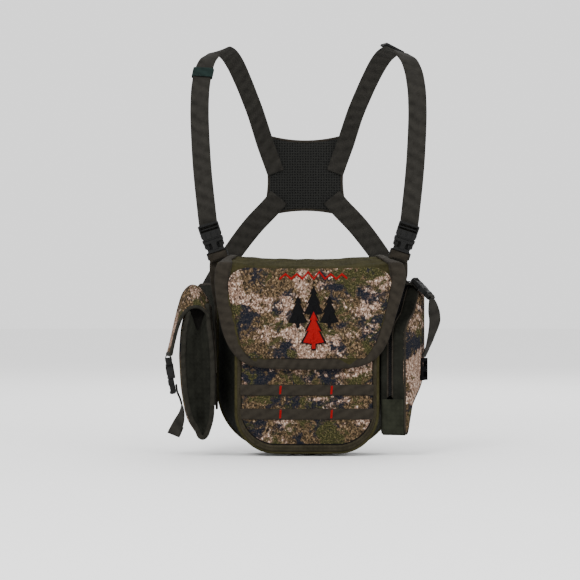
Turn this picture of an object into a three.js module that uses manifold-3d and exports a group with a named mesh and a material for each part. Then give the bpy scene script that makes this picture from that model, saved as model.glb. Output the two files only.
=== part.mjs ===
// Binocular harness pack: a chest pouch with a flap lid, two side pouches and a four-strap harness.
// Millimetres, +X to the viewer's right, +Y towards the wearer, +Z up.
// The origin is the middle of the chest pad's rear face.
import * as THREE from 'three';
import { mergeVertices } from 'three/addons/utils/BufferGeometryUtils.js';
import Module from 'manifold-3d';

const wasm = await Module();
wasm.setup();

// ---- driving dimensions -------------------------------------------------------------------
const GAP = 0.3; // between pieces that touch
const WEB_T = 1.6; // webbing thickness
const STRAP_W = 21; // shoulder webbing
const CLOSURE_W = 15; // webbing of the side pouches' closures
const SIDE_W = 25; // webbing round the ribs

const MAIN = {
  frontHalf: 82, backHalf: 104, bottom: -112, frontY: -72, backY: -11.2, wall: 2.5,
  frontTop: 97, backTop: 110, frontRadius: 46, backRadius: 70,
};
const PIPING_R = 2.2;
const FLAP = { inner: -80, thick: 3.4, foldZ: 103, bottom: -13 }; // the lid's front flap
const LID_HINGE = { y: -3.5, z: 113.5 };

const BUCKLE = { half: 12.5, deep: 4.5, barEnd: -2.5, mouth: 22, base: 22.4, end: 39.5 };
// the right shoulder strap and its buckle hang a little further out
const SHOULDER_BUCKLE = { x: 105, y: -6, z: 116.5, tilt: 18, rightOut: 5 };

const LEFT = { front: -76, rear: -8, turn: 2.5, axis: [-110, -4] };
const RIGHT = {
  x: 84.5, y: -70.5, turn: 22, width: 69, thick: 31, bottom: -92, top: 84, split: 12, slope: 102, strapY: 55,
};

const WING = { x: 106, y: -5.8, flare: 22, length: 78, thick: 2.6 };
const YOKE = { y: 215.6, z: 226, thick: 7 };

// ---- materials ----------------------------------------------------------------------------
const paint = (color, roughness, metalness = 0) =>
  new THREE.MeshStandardMaterial({ color, roughness, metalness });
const FINISH = {
  camo: () => paint(0x8a715c, 0.95),
  olive: () => paint(0x3c381e, 0.95),
  gusset: () => paint(0x2b2b1e, 0.95),
  webbing: () => paint(0x37322a, 0.9),
  strap: () => paint(0x3c3a37, 0.9),
  teal: () => paint(0x2f3a36, 0.9),
  mesh: () => paint(0x1d1d1b, 0.98),
  plastic: () => paint(0x1b1b1b, 0.45),
  zip: () => paint(0x17171a, 0.5),
};

// ---- solids -------------------------------------------------------------------------------
// A closed geometry as a Manifold solid, and back again.
function solid(geometry) {
  const bare = geometry.clone();
  bare.deleteAttribute('normal');
  bare.deleteAttribute('uv');
  const merged = mergeVertices(bare, 1e-4);
  return new wasm.Manifold(new wasm.Mesh({
    numProp: 3,
    vertProperties: Float32Array.from(merged.attributes.position.array),
    triVerts: Uint32Array.from(merged.index.array),
  }));
}

function shell(manifold) {
  const mesh = manifold.getMesh();
  const geometry = new THREE.BufferGeometry();
  geometry.setAttribute('position', new THREE.BufferAttribute(Float32Array.from(mesh.vertProperties), 3));
  geometry.setIndex(new THREE.BufferAttribute(Uint32Array.from(mesh.triVerts), 1));
  return geometry;
}

const cut = (geometry, ...tools) =>
  shell(tools.reduce((left, tool) => left.subtract(solid(tool)), solid(geometry)));
const join = (geometry, ...more) =>
  shell(more.reduce((sum, piece) => sum.add(solid(piece)), solid(geometry)));

// A box between two corners.
function block(x0, x1, y0, y1, z0, z1) {
  return new THREE.BoxGeometry(x1 - x0, y1 - y0, z1 - z0)
    .translate((x0 + x1) / 2, (y0 + y1) / 2, (z0 + z1) / 2);
}

// An outline drawn in X and Z, extruded between two values of Y.
function frontPlate(shape, y0, y1, curveSegments = 6) {
  return new THREE.ExtrudeGeometry(shape, { depth: y1 - y0, bevelEnabled: false, curveSegments })
    .rotateX(Math.PI / 2).translate(0, y1, 0);
}

// An outline drawn in Y and Z, extruded between two values of X.
function sidePlate(shape, x0, x1, curveSegments = 6) {
  const axes = new THREE.Matrix4().makeBasis(
    new THREE.Vector3(0, 1, 0), new THREE.Vector3(0, 0, 1), new THREE.Vector3(1, 0, 0));
  return new THREE.ExtrudeGeometry(shape, { depth: x1 - x0, bevelEnabled: false, curveSegments })
    .applyMatrix4(axes).translate(x0, 0, 0);
}

// A closed skin over rings. A ring is a strip: its upper edge one way, then its lower edge back.
function loft(rings) {
  const count = rings[0].length;
  const half = count / 2;
  const positions = rings.flat().flatMap((p) => [p.x, p.y, p.z]);
  const index = [];
  const quad = (a, b, c, d) => index.push(a, b, c, a, c, d);
  for (let i = 0; i + 1 < rings.length; i += 1) {
    for (let j = 0; j < count; j += 1) {
      const k = (j + 1) % count;
      quad(i * count + j, i * count + k, (i + 1) * count + k, (i + 1) * count + j);
    }
  }
  const last = (rings.length - 1) * count;
  for (let j = 0; j + 1 < half; j += 1) {
    quad(j, count - 1 - j, count - 2 - j, j + 1);
    quad(last + j, last + j + 1, last + count - 2 - j, last + count - 1 - j);
  }
  const geometry = new THREE.BufferGeometry();
  geometry.setAttribute('position', new THREE.Float32BufferAttribute(positions, 3));
  geometry.setIndex(index);
  return volume(geometry) < 0 ? flipped(geometry) : geometry;
}

function volume(geometry) {
  const at = geometry.attributes.position;
  const [a, b, c] = [new THREE.Vector3(), new THREE.Vector3(), new THREE.Vector3()];
  let sum = 0;
  for (let i = 0; i < geometry.index.count; i += 3) {
    [a, b, c].forEach((v, k) => v.fromBufferAttribute(at, geometry.index.getX(i + k)));
    sum += a.dot(b.cross(c)) / 6;
  }
  return sum;
}

function flipped(geometry) {
  const list = Array.from(geometry.index.array);
  for (let i = 0; i < list.length; i += 3) [list[i + 1], list[i + 2]] = [list[i + 2], list[i + 1]];
  geometry.setIndex(list);
  return geometry;
}

const vec = (p) => new THREE.Vector3(...p);

// Webbing along a curve through points. sides[i] is the direction of its width at points[i].
function ribbon(points, sides, width, thick, steps) {
  const path = new THREE.CatmullRomCurve3(points.map(vec), false, 'centripetal');
  const rings = [];
  for (let i = 0; i <= steps; i += 1) {
    const t = i / steps;
    const along = t * (points.length - 1);
    const k = Math.min(Math.floor(along), points.length - 2);
    const side = vec(sides[k]).lerp(vec(sides[k + 1]), along - k);
    const tangent = path.getTangent(t);
    side.addScaledVector(tangent, -side.dot(tangent)).normalize();
    const normal = new THREE.Vector3().crossVectors(tangent, side);
    const at = path.getPoint(t);
    const corner = (s, n) => at.clone().addScaledVector(side, s * width / 2)
      .addScaledVector(normal, n * thick / 2);
    rings.push([corner(-1, 1), corner(1, 1), corner(1, -1), corner(-1, -1)]);
  }
  return loft(rings);
}

// A point on such a curve with its frame: the piece's X is across, Y is off the face, Z is along.
function seat(points, sides, k, lift = 0) {
  const path = new THREE.CatmullRomCurve3(points.map(vec), false, 'centripetal');
  const tangent = path.getTangent(k / (points.length - 1));
  const side = vec(sides[Math.round(k)]);
  side.addScaledVector(tangent, -side.dot(tangent)).normalize();
  const normal = new THREE.Vector3().crossVectors(tangent, side);
  const at = path.getPoint(k / (points.length - 1)).addScaledVector(normal, lift);
  return new THREE.Matrix4().makeBasis(side, normal, tangent).setPosition(at);
}

// The same pieces on the wearer's other side.
const mirror = ([x, y, z]) => [-x, y, z];

// ---- the object ---------------------------------------------------------------------------
const pack = new THREE.Group();

function add(name, geometry, finish, parent = pack) {
  const mesh = new THREE.Mesh(geometry, FINISH[finish]());
  mesh.name = name;
  parent.add(mesh);
  return mesh;
}

// ---- main pouch ---------------------------------------------------------------------------
// Down one side, round the bottom and up the other: the line that the gusset and piping follow.
function uLine(half, top, bottom, radius, arcSteps = 6) {
  const line = [new THREE.Vector2(-half, top), new THREE.Vector2(-half, (top + bottom + radius) / 2)];
  for (const [side, start] of [[-1, Math.PI], [1, 1.5 * Math.PI]]) {
    for (let i = 0; i <= arcSteps; i += 1) {
      const angle = start + (i / arcSteps) * Math.PI / 2;
      line.push(new THREE.Vector2(
        side * (half - radius) + radius * Math.cos(angle), bottom + radius + radius * Math.sin(angle)));
    }
  }
  line.push(new THREE.Vector2(half, (top + bottom + radius) / 2), new THREE.Vector2(half, top));
  return line;
}

function pouchShape(half, top, bottom, radius) {
  return new THREE.Shape(uLine(half, top, bottom, radius));
}

function mainPouch() {
  const { frontHalf, backHalf, bottom, frontY, backY, wall, frontTop, backTop } = MAIN;
  const { frontRadius, backRadius } = MAIN;
  const lines = [
    [uLine(frontHalf, frontTop, bottom, frontRadius), frontY],
    [uLine(backHalf, backTop, bottom, backRadius), backY],
    [uLine(backHalf - wall, backTop, bottom + wall, backRadius - wall), backY],
    [uLine(frontHalf - wall, frontTop, bottom + wall, frontRadius - wall), frontY],
  ];
  const rings = lines[0][0].map((_, i) =>
    lines.map(([line, y]) => new THREE.Vector3(line[i].x, y, line[i].y)));
  add('main_gusset', loft(rings), 'gusset');

  const inset = PIPING_R + GAP + 0.2;
  const front = pouchShape(frontHalf - inset, frontTop, bottom + inset, frontRadius - inset);
  add('front_panel', frontPlate(front, -75, frontY - GAP), 'camo');
  const back = pouchShape(backHalf - inset, backTop, bottom + inset, backRadius - inset);
  add('back_panel', frontPlate(back, -9, -6.3), 'gusset');
  add('chest_pad', frontPlate(pouchShape(92, 104, -102, 50), -6, 0), 'mesh');

  add('front_piping', piping(frontHalf, frontTop, bottom, frontRadius, -74.5), 'olive');
  add('back_piping', piping(backHalf, backTop - 3, bottom, backRadius, -8.6), 'olive');

  const rows = { upper: -39.8, lower: -67.5 };
  for (const [row, z] of Object.entries(rows)) {
    add(`molle_webbing_${row}`, block(-77.5, 77.5, -76.9, -75 - GAP, z - 5.8, z + 5.8), 'webbing');
  }
  add('front_loop_patch', block(-32, 32, -76.9, -75 - GAP, -12, 14), 'mesh');
}

// A round cord sewn into the seam, as an eight-sided bar along the seam line.
function piping(half, top, bottom, radius, y) {
  const line = uLine(half, top, bottom, radius);
  const rings = line.map((point, i) => {
    const before = line[Math.max(i - 1, 0)];
    const after = line[Math.min(i + 1, line.length - 1)];
    const along = after.clone().sub(before).normalize();
    return ringPoints(PIPING_R, 8).map(([out, deep]) =>
      new THREE.Vector3(point.x + along.y * out, y + deep, point.y - along.x * out));
  });
  return loft(rings);
}

// Corners of a regular polygon, ordered as a loft's strip.
function ringPoints(radius, sides) {
  return Array.from({ length: sides }, (_, i) => {
    const angle = Math.PI * (1 - (2 * i + 1) / sides);
    return [radius * Math.cos(angle), radius * Math.sin(angle)];
  });
}

// ---- main lid -----------------------------------------------------------------------------
function mainLid() {
  const face = FLAP.inner - FLAP.thick;
  // each station across the lid: outer edge's Y and Z, inner edge's Y and Z, half width
  const top = LID_HINGE.z + 1.5;
  const stations = [
    [-4, top, -4, top - 3, 90.5],
    [-38, 110.5, -38, 107.5, 92],
    [-70, 106, -70, 102.6, 95],
    [-80, 103.6, -78.5, 100.4, 98],
    [face, 98, FLAP.inner, 97, 103],
    [face, 86, FLAP.inner, 86, 105],
    [face, 64, FLAP.inner, 64, 103],
    [face, 35, FLAP.inner, 35, 98],
    [face, 12, FLAP.inner, 12, 89.5],
    [face, -2, FLAP.inner, -2, 81],
    [face, -11, FLAP.inner, -11, 71],
    [face, FLAP.bottom, FLAP.inner, FLAP.bottom, 60],
  ];
  const rings = stations.map(([y0, z0, y1, z1, half]) => [
    new THREE.Vector3(-half, y0, z0), new THREE.Vector3(half, y0, z0),
    new THREE.Vector3(half, y1, z1), new THREE.Vector3(-half, y1, z1),
  ]);
  add('lid_shell', loft(rings), 'olive');

  const camo = insetShape(GAP);
  add('lid_camo_panel', frontPlate(camo, face - GAP - 1.5, face - GAP, 5), 'camo');

  const edge = [[103, 97], [105, 86], [103, 64], [98, 35], [89.5, 12], [81, -2], [71, -11], [60, -15.5]];
  const binding = new THREE.Shape(edge.map(([x, z]) => new THREE.Vector2(-x, z)));
  edge.slice().reverse().forEach(([x, z]) => binding.lineTo(x, z));
  const inner = [[92, 97], [92, 70], [90, 50], [84, 33], [77, 17], [68, 3], [56, -4]];
  inner.forEach(([x, z]) => binding.lineTo(x, z));
  inner.slice().reverse().forEach(([x, z]) => binding.lineTo(-x, z));
  add('lid_binding', frontPlate(binding, face - GAP - 1.9, face - GAP), 'webbing');

  add('lid_hook_patch', block(-32, 32, FLAP.inner + GAP, -78, -9, 12), 'mesh');
}

// The camouflage inset of the lid: rounded at the top, tapering to the bottom.
function insetShape(gap) {
  const half = 92 - gap;
  const shape = new THREE.Shape();
  shape.moveTo(-half, 84);
  shape.lineTo(-half, 70);
  [[90, 50], [84, 33], [77, 17], [68, 3], [56, -4]].forEach(([x, z]) => shape.lineTo(-x + gap, z + gap));
  [[56, -4], [68, 3], [77, 17], [84, 33], [90, 50]].forEach(([x, z]) => shape.lineTo(x - gap, z + gap));
  shape.lineTo(half, 70);
  shape.lineTo(half, 84);
  shape.absarc(half - 14, 84, 14, 0, Math.PI / 2);
  shape.absarc(14 - half, 84, 14, Math.PI / 2, Math.PI);
  return shape;
}

// ---- side-release buckle ------------------------------------------------------------------
// Drawn standing up: the webbing bar of the socket at the bottom, the plug's ladder lock on top.
function buckleSocket() {
  const { half, deep, barEnd, mouth } = BUCKLE;
  return cut(
    block(-half, half, -deep, deep, barEnd, mouth),
    block(-half + 2, half - 2, -deep - 1, deep + 1, 1.8, 5.2),
    block(-9.4, 9.4, -2.9, 2.9, 7, mouth + 1),
    block(-half - 1, half + 1, -2.9, 2.9, 8.4, 17.6),
    block(-half - 1, half + 1, -deep - 1, -2.2, barEnd - 1, 1.8),
    block(-half - 1, half + 1, 2.2, deep + 1, barEnd - 1, 1.8),
  );
}

// A socket that is open towards the pouch, so that it lifts off the plug.
function openSocket() {
  const { half, deep, barEnd, mouth } = BUCKLE;
  return cut(
    block(-half, half, -deep, deep, barEnd, mouth),
    block(-half + 2, half - 2, -deep - 1, deep + 1, 1.8, 5.2),
    block(-9.9, 9.9, -2.9, deep + 1, 7, mouth + 1),
    block(-half - 1, half + 1, -2.9, deep + 1, 7.6, 18.4),
    block(-half - 1, half + 1, -deep - 1, -2.2, barEnd - 1, 1.8),
    block(-half - 1, half + 1, 2.2, deep + 1, barEnd - 1, 1.8),
  );
}

function buckleBase() {
  const { half, base, end } = BUCKLE;
  return cut(
    join(block(-half, half, -3, 3, base, end), block(-1.4, 1.4, -1.6, 1.6, 10, base + 1)),
    block(-half + 2, half - 2, -4, 4, 26, 28.6),
    block(-half + 2, half - 2, -4, 4, 31.4, 36.8),
  );
}

function bucklePlug() {
  return join(buckleBase(), prong(1), prong(-1));
}

// One springy arm of the plug; its tip fills the socket's side window.
function prong(side, reach = BUCKLE.base + 0.5) {
  const shape = new THREE.Shape();
  [[6.2, reach], [8.5, reach], [8.5, 17], [11.9, 15.2], [11.9, 11.4], [8.8, 9], [6.9, 9], [6.2, 14]]
    .forEach(([x, z], i) => (i ? shape.lineTo(side * x, z) : shape.moveTo(side * x, z)));
  return frontPlate(shape, -2.2, 2.2);
}

// ---- shoulder straps and what they carry --------------------------------------------------
function shoulderPath(side) {
  const lean = THREE.MathUtils.degToRad(SHOULDER_BUCKLE.tilt);
  const up = (along) => [
    -SHOULDER_BUCKLE.x - Math.sin(lean) * along, SHOULDER_BUCKLE.y + 3 + GAP + WEB_T / 2,
    SHOULDER_BUCKLE.z + Math.cos(lean) * along];
  const points = [
    up(25), up(35), [-119.5, -1, 178], [-123.5, 4, 215], [-126, 8, 250], [-127.5, 14, 290],
    [-126.5, 25, 320], [-122, 45, 346], [-112, 68, 363], [-101, 92, 369], [-90, 122, 360],
    [-76, 155, 332], [-62, 184, 296], [-51, 206, 262], [-43, 214.2, 240], [-38, 214.2, 226]];
  const sides = [
    [Math.cos(lean), 0, Math.sin(lean)], [Math.cos(lean), 0, Math.sin(lean)], [1, 0, 0.05],
    [1, 0, 0], [1, 0, 0], [1, 0, 0], [1, 0.05, 0.1], [1, 0.2, 0.35], [1, 0.35, 0.45],
    [1, 0.4, 0.3], [1, 0.4, 0.15], [1, 0.4, 0.3], [1, 0.3, 0.35], [1, 0.1, 0.35],
    [1, 0, 0.35], [1, 0, 0.35]];
  if (side < 0) return { points, sides };
  const out = (y) => SHOULDER_BUCKLE.rightOut * THREE.MathUtils.clamp((184 - y) / 116, 0, 1);
  return {
    points: points.map(mirror).map(([x, y, z]) => [x + out(y), y, z]),
    sides: sides.map(([x, y, z]) => [x, -y, -z]),
  };
}

function keeperBand(width) {
  return cut(
    block(-width / 2 - 2.2, width / 2 + 2.2, -3, 3, -7, 7),
    block(-width / 2 - 0.9, width / 2 + 0.9, -1.9, 1.9, -8, 8),
  );
}

function slideAdjuster(width) {
  const half = width / 2 + 2.5;
  return cut(
    block(-half, half, -1.3, 1.3, -8.5, 8.5),
    block(-width / 2, width / 2, -2, 2, -6, -1.6),
    block(-width / 2, width / 2, -2, 2, 1.6, 6),
  );
}

function shoulder(side) {
  const word = side < 0 ? 'left' : 'right';
  const out = side < 0 ? 0 : SHOULDER_BUCKLE.rightOut;
  const tab = new THREE.Shape();
  [[93.4, 114.6], [113.2, 108.4], [114.4, 99], [113, 76], [109, 62], [98, 35], [93, 22]]
    .map(([x, z]) => [side * (x + out * THREE.MathUtils.clamp((z - 60) / 30, 0, 1)), z])
    .forEach(([x, z], i) => (i ? tab.lineTo(x, z) : tab.moveTo(x, z)));
  const buckle = new THREE.Group();
  buckle.position.set(side * (SHOULDER_BUCKLE.x + out), SHOULDER_BUCKLE.y, SHOULDER_BUCKLE.z);
  buckle.rotation.y = side * THREE.MathUtils.degToRad(SHOULDER_BUCKLE.tilt);
  buckle.updateMatrix();
  pack.add(buckle);

  // the tab's end is folded round the socket's bar and sewn down
  const fold = cut(
    block(-10.3, 10.3, -4.2, 4.2, -6.4, 4.6),
    block(-11, 11, -2.6, 2.6, -2.9, 2.2),
  ).applyMatrix4(buckle.matrix);
  const flat = frontPlate(tab, -5.6, -3);
  add(`strap_tab_${word}`, join(flat, fold), 'webbing');

  add(`shoulder_buckle_socket_${word}`, buckleSocket(), 'plastic', buckle);
  add(`shoulder_buckle_plug_${word}`, buckleBase(), 'plastic', buckle);
  add(`buckle_prong_inner_${word}`, prong(-side, BUCKLE.base - GAP), 'plastic', buckle);
  add(`buckle_prong_outer_${word}`, prong(side, BUCKLE.base - GAP), 'plastic', buckle);

  const { points, sides } = shoulderPath(side);
  add(`shoulder_strap_${word}`, ribbon(points, sides, STRAP_W, WEB_T, 34), 'strap');
  if (side < 0) {
    add('strap_keeper', keeperBand(STRAP_W).applyMatrix4(seat(points, sides, 6.6)), 'teal');
  } else {
    add('strap_slider', slideAdjuster(STRAP_W).applyMatrix4(seat(points, sides, 9, -2.6)), 'plastic');
  }
}

// ---- wings, side straps and yoke ----------------------------------------------------------
function wingPoint(side, along, z, lift = 0) {
  const flare = THREE.MathUtils.degToRad(WING.flare);
  return [
    side * (WING.x + Math.sin(flare) * along + Math.cos(flare) * lift),
    WING.y + Math.cos(flare) * along - Math.sin(flare) * lift, z];
}

function wing(side) {
  const word = side < 0 ? 'left' : 'right';
  const shape = new THREE.Shape();
  shape.moveTo(0, -66);
  shape.lineTo(WING.length, -22);
  shape.lineTo(WING.length, 52);
  shape.absarc(WING.length - 24, 59, 24, -0.2, Math.PI / 2);
  shape.lineTo(20, 83);
  shape.quadraticCurveTo(4, 83, 4, 62);
  shape.lineTo(4, 30);
  shape.lineTo(0, 26);
  const panel = new THREE.Group();
  panel.position.set(side * WING.x, WING.y, 0);
  panel.rotation.z = -side * THREE.MathUtils.degToRad(WING.flare);
  pack.add(panel);
  const half = WING.thick / 2;
  add(`wing_${word}`, sidePlate(shape, -half, half, 5), 'gusset', panel);

  const lap = WING.thick / 2 + GAP + WEB_T / 2;
  const points = [
    wingPoint(side, 18, 15, lap), wingPoint(side, 45, 15, lap), wingPoint(side, 72, 15, lap),
    wingPoint(side, WING.length + 2, 15, lap), [side * 143, 96, 17],
    [side * 143, 128, 30], [side * 128, 164, 66], [side * 100, 191, 112], [side * 68, 207, 156],
    [side * 44, 214.2, 182], [side * 34, 214.2, 194]];
  const sides = [
    [0, 0, 1], [0, 0, 1], [0, 0, 1], [0, 0, 1], [0, 0, 1], [0, -0.3, 1],
    [side * 0.35, -0.45, 0.8],
    [side * 0.55, -0.3, 0.75], [side * 0.65, -0.1, 0.7], [side * 0.65, 0, 0.72], [side * 0.75, 0, 0.65]];
  add(`side_strap_${word}`, ribbon(points, sides, SIDE_W, WEB_T, 26), 'strap');

  const slider = new THREE.Group();
  slider.position.set(...wingPoint(side, 50, 15, lap + WEB_T / 2 + GAP + 1.3));
  slider.rotation.z = -side * THREE.MathUtils.degToRad(WING.flare);
  pack.add(slider);
  const upright = new THREE.Matrix4().makeBasis(
    new THREE.Vector3(0, 0, 1), new THREE.Vector3(1, 0, 0), new THREE.Vector3(0, 1, 0));
  const flat = slideAdjuster(SIDE_W).applyMatrix4(upright);
  add(`side_slider_${word}`, flat, 'plastic', slider);
}

function yoke() {
  const shape = new THREE.Shape();
  shape.moveTo(-38, -52);
  shape.quadraticCurveTo(0, -44, 38, -52);
  shape.quadraticCurveTo(50, -50, 50, -38);
  shape.quadraticCurveTo(42, 0, 56, 34);
  shape.quadraticCurveTo(56, 46, 46, 46);
  shape.quadraticCurveTo(0, 34, -46, 46);
  shape.quadraticCurveTo(-56, 46, -56, 34);
  shape.quadraticCurveTo(-42, 0, -50, -38);
  shape.quadraticCurveTo(-50, -50, -38, -52);
  const pad = frontPlate(shape, YOKE.y, YOKE.y + YOKE.thick, 4).translate(0, 0, YOKE.z);
  add('yoke_pad', pad, 'mesh');
}

// ---- left pouch ---------------------------------------------------------------------------
const LEAF_BACK = [
  [-117, 58], [-114.6, 32], [-111.4, 6], [-110.4, -20], [-110.7, -47], [-112.2, -74], [-116.5, -88]];
const LEAF_FRONT = [
  [-141.5, 50], [-145.8, 30], [-147.7, 4], [-147.4, -14], [-144.6, -47], [-138.5, -74], [-130, -88]];
const LID_ARCH = [
  [-117.5, 63], [-122.5, 71], [-129, 78.5], [-137.5, 80.5], [-146, 73], [-152, 58], [-157, 38], [-161.5, 17],
  [-165, 2]];

function leftPouch() {
  const group = new THREE.Group();
  const middle = (LEFT.front + LEFT.rear) / 2;
  group.position.set(LEFT.axis[0], LEFT.axis[1], 0);
  group.rotation.z = THREE.MathUtils.degToRad(LEFT.turn);
  pack.add(group);
  // local X and Y are measured from the vertical line that the pouch hangs on
  const at = (x, y, z) => [x - LEFT.axis[0], y - LEFT.axis[1], z];
  const width = LEFT.rear - LEFT.front - 8;

  const panel = (line) => ribbon(
    line.map(([x, z]) => at(x, middle, z)), line.map(() => [0, 1, 0]), width, 2.6, 14);
  add('left_back_panel', panel(LEAF_BACK), 'gusset', group);
  add('left_front_panel', panel(LEAF_FRONT), 'camo', group);

  const leaf = new THREE.Shape();
  const inset = 2.2;
  const corners = [
    ...LEAF_BACK.map(([x, z]) => [x - inset, z]),
    ...LEAF_FRONT.slice().reverse().map(([x, z]) => [x + inset, z])];
  corners.forEach(([x, z], i) => {
    const [u] = at(x, 0, z);
    if (i) leaf.lineTo(u, z);
    else leaf.moveTo(u, z);
  });
  for (const [word, y0, direction] of [['front', LEFT.front, 1], ['rear', LEFT.rear, -1]]) {
    const [, centre] = at(0, y0 + direction * 2.3, 0);
    add(`left_gusset_${word}`, frontPlate(leaf, centre - 1.1, centre + 1.1), 'gusset', group);
    const rim = [...LEAF_BACK, [-123.3, -95], ...LEAF_FRONT.slice().reverse()];
    const binding = ribbon(
      rim.map(([x, z]) => at(x, y0 + direction * 1.85, z)), rim.map(() => [0, 1, 0]), 3.7, 2.6, 26);
    add(`left_binding_${word}`, binding, 'webbing', group);
  }

  for (const [word, y] of [['front', -60], ['rear', -26]]) {
    const line = LEAF_BACK.slice(0, 4).map(([x, z]) => at(x + 1.6 + GAP + WEB_T / 2, y, z));
    add(`left_mount_strap_${word}`, ribbon(line, line.map(() => [0, 1, 0]), 18, WEB_T, 9), 'webbing', group);
  }

  leftLid(group, at, middle);
  leftClosure(group, at, middle);
}

function leftLid(group, at, middle) {
  // across the lid: distance from the middle, and how far the edge droops
  const half = (LEFT.rear - LEFT.front) / 2;
  const across = [[-half, 18], [-half + 6, 8], [-half + 16, 0], [half - 16, 0], [half - 6, 8], [half, 18]];
  const thick = 4;
  const path = new THREE.CatmullRomCurve3(
    LID_ARCH.map(([x, z]) => vec(at(x, middle, z))), false, 'centripetal');
  const steps = 14;
  const rings = [];
  for (let i = 0; i <= steps; i += 1) {
    const point = path.getPoint(i / steps);
    const tangent = path.getTangent(i / steps);
    const inward = new THREE.Vector3(-tangent.z, 0, tangent.x);
    // the droop fades out towards the sewn edge and towards the flap's end
    const fade = Math.sin(Math.PI * Math.min(Math.max((i / steps - 0.04) / 0.7, 0), 1));
    const row = (depth) => across.map(([y, droop]) =>
      point.clone().addScaledVector(inward, depth + droop * fade).add(new THREE.Vector3(0, y, 0)));
    rings.push([...row(-thick / 2), ...row(thick / 2).reverse()]);
  }
  add('left_lid', loft(rings), 'camo', group);
}

// The left closure: a socket hangs on the lid's end, a plug stands on webbing from the pouch.
const LEFT_BUCKLE = { x: -163.2, z: -5.8, lean: 9.5 };

function leftClosure(group, at, middle) {
  const buckle = new THREE.Group();
  buckle.position.set(...at(LEFT_BUCKLE.x, middle, LEFT_BUCKLE.z));
  // the socket's bar is on top, its closed side faces away from the pouch
  const along = new THREE.Vector3(Math.sin(THREE.MathUtils.degToRad(LEFT_BUCKLE.lean)), 0,
    -Math.cos(THREE.MathUtils.degToRad(LEFT_BUCKLE.lean)));
  const inward = new THREE.Vector3(-along.z, 0, along.x);
  const wide = new THREE.Vector3().crossVectors(inward, along);
  buckle.setRotationFromMatrix(new THREE.Matrix4().makeBasis(wide, inward, along));
  group.add(buckle);
  add('left_buckle_socket', openSocket(), 'plastic', buckle);
  add('left_buckle_plug', bucklePlug(), 'plastic', buckle);

  const loop = cut(
    block(-7.5, 7.5, -4.2, 4.2, -6.2, 4.6),
    block(-9, 9, -2.6, 2.6, -2.9, 2.2),
  );
  add('left_lid_loop', loop, 'webbing', buckle);

  // from the ladder lock down to the pouch, and on as a hanging tail that turns its face forward
  const end = new THREE.Vector3(...at(LEFT_BUCKLE.x, middle, LEFT_BUCKLE.z))
    .addScaledVector(along, 30).addScaledVector(inward, 3 + GAP + WEB_T / 2);
  const line = [
    end.toArray(), end.clone().addScaledVector(along, 9).toArray(), at(-150, middle, -50),
    at(-148, middle, -57), at(-148, middle - 2, -67), at(-151.5, middle - 5, -79), at(-157.5, middle - 7, -93)];
  const sides = [
    [0, 1, 0], [0, 1, 0], [0, 1, 0], [0, 1, 0], [-0.35, 0.9, 0], [-0.75, 0.6, 0.2], [-0.9, 0.35, 0.35]];
  add('left_closure_webbing', ribbon(line, sides, CLOSURE_W, WEB_T, 18), 'strap', group);
}

// ---- right pouch --------------------------------------------------------------------------
// Its outline seen from the side: it leans back, so the top slopes up and the bottom slopes down.
function pocketShape(inset) {
  const { width, bottom, top } = RIGHT;
  const shape = new THREE.Shape();
  shape.moveTo(6, bottom);
  shape.quadraticCurveTo(10, bottom, 14, bottom + 8);
  shape.lineTo(22, -64);
  shape.bezierCurveTo(34, -46, width, -42, width, -8);
  shape.lineTo(width, top - 8);
  shape.quadraticCurveTo(width, top, width - 8, top);
  shape.quadraticCurveTo(width - 13, top, width - 18, top - 7);
  shape.lineTo(30, 50);
  shape.bezierCurveTo(12, 41, 0, 36, 0, 20);
  shape.lineTo(0, bottom + 8);
  shape.quadraticCurveTo(0, bottom, 6, bottom);
  const outline = shape.getPoints(5).map((p) => [p.x, p.y]);
  const [ring] = new wasm.CrossSection([outline]).offset(-inset, 'Miter').toPolygons();
  return new THREE.Shape(ring.map(([y, z]) => new THREE.Vector2(y, z)));
}

// What the slope at the top of the front takes away, beyond a line at 45 degrees.
function slopeTool(inset) {
  const reach = RIGHT.slope - inset * Math.SQRT2;
  const shape = new THREE.Shape();
  shape.moveTo(reach - 100, 100);
  shape.lineTo(60, reach - 60);
  shape.lineTo(60, 100);
  return frontPlate(shape, -5, RIGHT.width + 5);
}

const ZIP_END = -51; // the zip stops here; plain cloth goes on below it
const ZIP_HALF = 2.6; // each side of the zip
const TRAY_WALL = 2.4; // cloth and foam

// Half of the pouch between two values of X: hollow inside, with its lip cut away for the zip.
function tray([x0, x1], [inner0, inner1], [lip0, lip1]) {
  return cut(
    sidePlate(pocketShape(0), x0, x1, 5),
    slopeTool(0),
    cut(sidePlate(pocketShape(TRAY_WALL), inner0, inner1, 5), slopeTool(TRAY_WALL)),
    block(lip0, lip1, -5, RIGHT.width + 5, ZIP_END, RIGHT.top + 5),
  );
}

function zipSide(x0, x1) {
  return cut(
    sidePlate(pocketShape(0.4), x0, x1, 5),
    sidePlate(pocketShape(2.6), x0 - 1, x1 + 1, 5),
    block(x0 - 1, x1 + 1, -5, RIGHT.width + 5, RIGHT.bottom - 5, ZIP_END + GAP),
  );
}

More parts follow.
